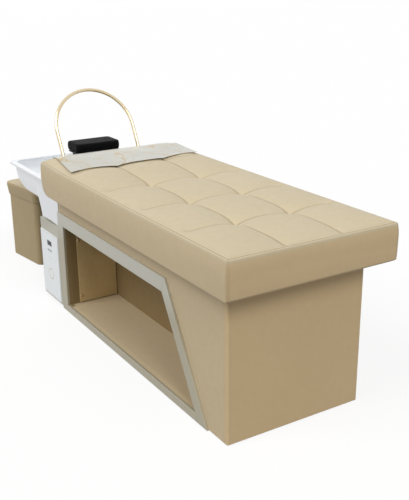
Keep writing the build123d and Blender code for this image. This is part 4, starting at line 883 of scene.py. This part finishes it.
border = panel_line(sums(panel_tree, "MAXIMUM",
                         panel_gap("X", panel_middle[0], (panel_high[0] - panel_low[0]) / 2 - border_gap),
                         panel_gap("Z", panel_middle[1], (panel_high[2] - panel_low[2]) / 2 - border_gap)))
rule = panel_line(sums(panel_tree, "MAXIMUM", panel_gap("X", panel_middle[0], rule_half),
                       panel_gap("Z", rule_height, 0.0)))
across = sums(panel_tree, "POWER", panel_gap("X", panel_middle[0], 0.0), 2.0)
upward = sums(panel_tree, "POWER", panel_gap("Z", ring_height, 0.0), 2.0)
from_middle = sums(panel_tree, "SQRT", sums(panel_tree, "ADD", across, upward), 0.0)
ring_line = panel_line(sums(panel_tree, "SUBTRACT", from_middle, ring_radius), ring_line_half)
printed = sums(panel_tree, "MAXIMUM", rule, ring_line)
edged = blend_colours(panel_tree, border, white_tone, colour(196, 202, 206))
retone(panel_tree, blend_colours(panel_tree, printed, edged, colour(208, 196, 166)))
cover(("control_panel",), panel_white)
cover(("display_window",), window_dark)
cover(("button_less", "button_power", "button_more"), button_grey)

# Basin: a single white moulding with its foot, under a thin clear gloss skin, so that its walls
# show soft highlights.
basin_white = sprayed("basin_white", colour(244, 247, 250), colour(240, 244, 248), colour(248, 250, 251),
                      0.10, 300.0, (0.10, 0.18), Coat_Weight=0.4, Coat_Roughness=0.05)
cover(("basin_shell",), basin_white)

# Water arch: bent tube and its swivel hubs, with a pale gold metal finish under a thin clear
# lacquer.
arch_gold = sprayed("arch_gold", colour(226, 208, 172), colour(219, 200, 162), colour(234, 219, 188),
                    0.1, 220.0, (0.12, 0.18), Metallic=0.65, Coat_Weight=0.3, Coat_Roughness=0.05)
cover(("arch_tube", "arch_hubs"), arch_gold)

# Neck rest: black lacquered frame and bracket, and a firm foam pad under black leatherette, with a
# slight dip for the neck and a seam round its upper edge.
cover(("neck_frame", "neck_bracket"), dark_mould)
longest_side_step = 0.012
outline_corner_steps = 7
pad_seam_mark = 0.6


def rounded_outline(half_length, half_width, radius, steps):
    """Points round a rectangle with round corners, close together on the corners."""
    found = []
    for centre_x, centre_y, first_turn in ((1, 1, 0), (-1, 1, 90), (-1, -1, 180), (1, -1, 270)):
        for step in range(steps + 1):
            angle = radians(first_turn + 90 * step / steps)
            found.append((centre_x * (half_length - radius) + radius * cos(angle),
                          centre_y * (half_width - radius) + radius * sin(angle)))
    full = []
    for (x, y), (next_x, next_y) in zip(found, found[1:] + found[:1]):
        cuts = max(int(hypot(next_x - x, next_y - y) / longest_side_step), 1)
        full += [(x + (next_x - x) * cut / cuts, y + (next_y - y) * cut / cuts) for cut in range(cuts)]
    return full


def pad_form(name, half_length, half_width, radius, rows, top_height, turn, centre, seam_row):
    """A closed pad: rows give each level's inset and height from below; rings close the top."""
    top_rings = 12
    corners, faces, marks = [], [], []
    outline = rounded_outline(half_length, half_width, radius, outline_corner_steps)
    count = len(outline)
    levels = [((half_length - inset) / half_length, (half_width - inset) / half_width, height)
              for inset, height in rows]
    for row, (share_x, share_y, height) in enumerate(levels):
        corners += [(x * share_x, y * share_y, height) for x, y in outline]
        marks += [pad_seam_mark * (row == seam_row)] * count
    last_x, last_y = levels[-1][0], levels[-1][1]
    for step in range(1, top_rings):
        share = 1 - step / top_rings
        for x, y in outline:
            ring_x, ring_y = x * last_x * share, y * last_y * share
            corners.append((ring_x, ring_y, top_height(ring_x, ring_y)))
        marks += [0.0] * count
    rings = len(levels) + top_rings - 1
    for row in range(rings - 1):
        faces += [(row * count + k, row * count + (k + 1) % count, (row + 1) * count + (k + 1) % count,
                   (row + 1) * count + k) for k in range(count)]
    for first, height in (((rings - 1) * count, top_height(0, 0)), (0, levels[0][2])):
        corners.append((0, 0, height))
        marks.append(0.0)
        faces += [(first + k, first + (k + 1) % count, len(corners) - 1) for k in range(count)]
    turned = Matrix.Translation(centre) @ Matrix.Rotation(radians(turn), 4, "Z")
    piece = make_mesh(name, [turned @ Vector(corner) for corner in corners], faces)
    face_outwards(piece)
    mark(piece, "seam", marks)
    # The band marks the sides, which the stool's lid tones with painted shade.
    side_count = (len(levels) - 2) * count
    mark(piece, "band", [1.0 * (k < side_count) for k in range(len(corners))])
    return piece


pad_low, pad_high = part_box("neck_pad")
pad_centre = ((pad_low[0] + pad_high[0]) / 2, (pad_low[1] + pad_high[1]) / 2, 0)
pad_length, pad_width = pad_high[0] - pad_low[0], pad_high[1] - pad_low[1]
pad_dip, pad_skin, pad_edge_drop, pad_corner_radius = 0.003, 0.0006, 0.0030, 0.016


def neck_top(x, y):
    """The pad's top: dipped along its middle for the neck, and lower towards its edges."""
    edge = max(abs(x) / (pad_length / 2), abs(y) / (pad_width / 2))
    return pad_high[2] - pad_skin - pad_dip * cos(pi * y / pad_width) ** 2 - pad_edge_drop * edge ** 6


# Each level's inset and height: the rolled underside, the side, the seam's groove and the top's edge
pad_rows = [(0.016, pad_low[2] + 0.0002), (0.008, pad_low[2] + 0.0004), (0.004, pad_low[2] + 0.0022),
            (0.0016, pad_low[2] + 0.006), (0.0006, pad_low[2] + 0.014), (0.0, pad_low[2] + 0.024),
            (0.0008, pad_high[2] - 0.011), (0.0018, pad_high[2] - 0.0085), (0.0022, pad_high[2] - 0.0078),
            (0.0018, pad_high[2] - 0.0070), (0.0030, pad_high[2] - 0.0048), (0.0062, pad_high[2] - 0.0030),
            (0.011, pad_high[2] - 0.0022)]
neck_cushion = pad_form("neck_cushion", pad_length / 2, pad_width / 2, pad_corner_radius, pad_rows,
                        neck_top, 0, pad_centre, seam_row=8)
black_tone = colour(16, 16, 17)
black_leatherette = leather("black_leatherette", black_tone, colour(8, 8, 9), black_tone, grain=700.0,
                            gloss=0.05, sheen=0.0)
finish_piece(neck_cushion, round_off(neck_cushion), black_leatherette, "neck_rest")
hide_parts("neck_pad")

# Stool: leather box on low glides, and a loose lid of firm foam on a board, with a flat top, a
# seam round the top edge and sides that draw in towards the gap over the box.
# The stool's leather is toned darker than the cushion's, and the box and the lid's sides darker than the
# lid's top: painted shade.
stool_shade_tone = colour(182, 162, 124)
stool_leather = leather("stool_leather", colour(198, 183, 153), colour(168, 148, 112), stool_shade_tone, seams=True)
shaded_box_leather = leather("shaded_box_leather", stool_shade_tone, colour(160, 139, 100), stool_shade_tone)
cover(("stool_box",), shaded_box_leather)
lid_low, lid_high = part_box("stool_lid_pad")
lid_turn = 8
lid_half_length, lid_half_width, lid_corner_radius = 0.166, 0.201, 0.034
lid_centre = ((lid_low[0] + lid_high[0]) / 2, (lid_low[1] + lid_high[1]) / 2, 0)
recess, lid_skin, lid_edge_drop, lid_seam_depth = 0.0122, 0.0010, 0.0050, 0.0054


def lid_top(x, y):
    """The lid's flat top, lower only near its edges."""
    edge = max(abs(x) / lid_half_length, abs(y) / lid_half_width)
    return lid_high[2] - lid_skin - lid_edge_drop * edge ** 4


# Each level's inset and height: the recess for the board, the drawn-in side, the seam and the edge
lid_rows = [(0.0108, lid_low[2] + recess), (0.0106, lid_low[2] + 0.0002), (0.0086, lid_low[2]),
            (0.0068, lid_low[2] + 0.0018), (0.0058, lid_low[2] + 0.007), (0.0040, lid_low[2] + 0.024),
            (0.0018, lid_low[2] + 0.042), (0.0004, lid_low[2] + 0.054), (0.0006, lid_high[2] - 0.015),
            (0.0016, lid_high[2] - 0.0125), (0.0021, lid_high[2] - 0.0118), (0.0018, lid_high[2] - 0.0110),
            (0.0032, lid_high[2] - 0.0086), (0.0066, lid_high[2] - 0.0068), (0.0120, lid_high[2] - 0.0058)]
stool_cushion = pad_form("stool_cushion", lid_half_length, lid_half_width, lid_corner_radius, lid_rows,
                         lid_top, lid_turn, lid_centre, seam_row=10)


def lid_hold(place):
    """Pins on the seam and below it; slack on the top."""
    return 0.0 if place.z > lid_high[2] - lid_seam_depth else 1.0


swell(stool_cushion, lid_hold, pressure=2.0, reach=0.0008)
finish_piece(stool_cushion, round_off(stool_cushion), stool_leather, "stool_lid")
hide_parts("stool_lid_pad")

low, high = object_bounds()
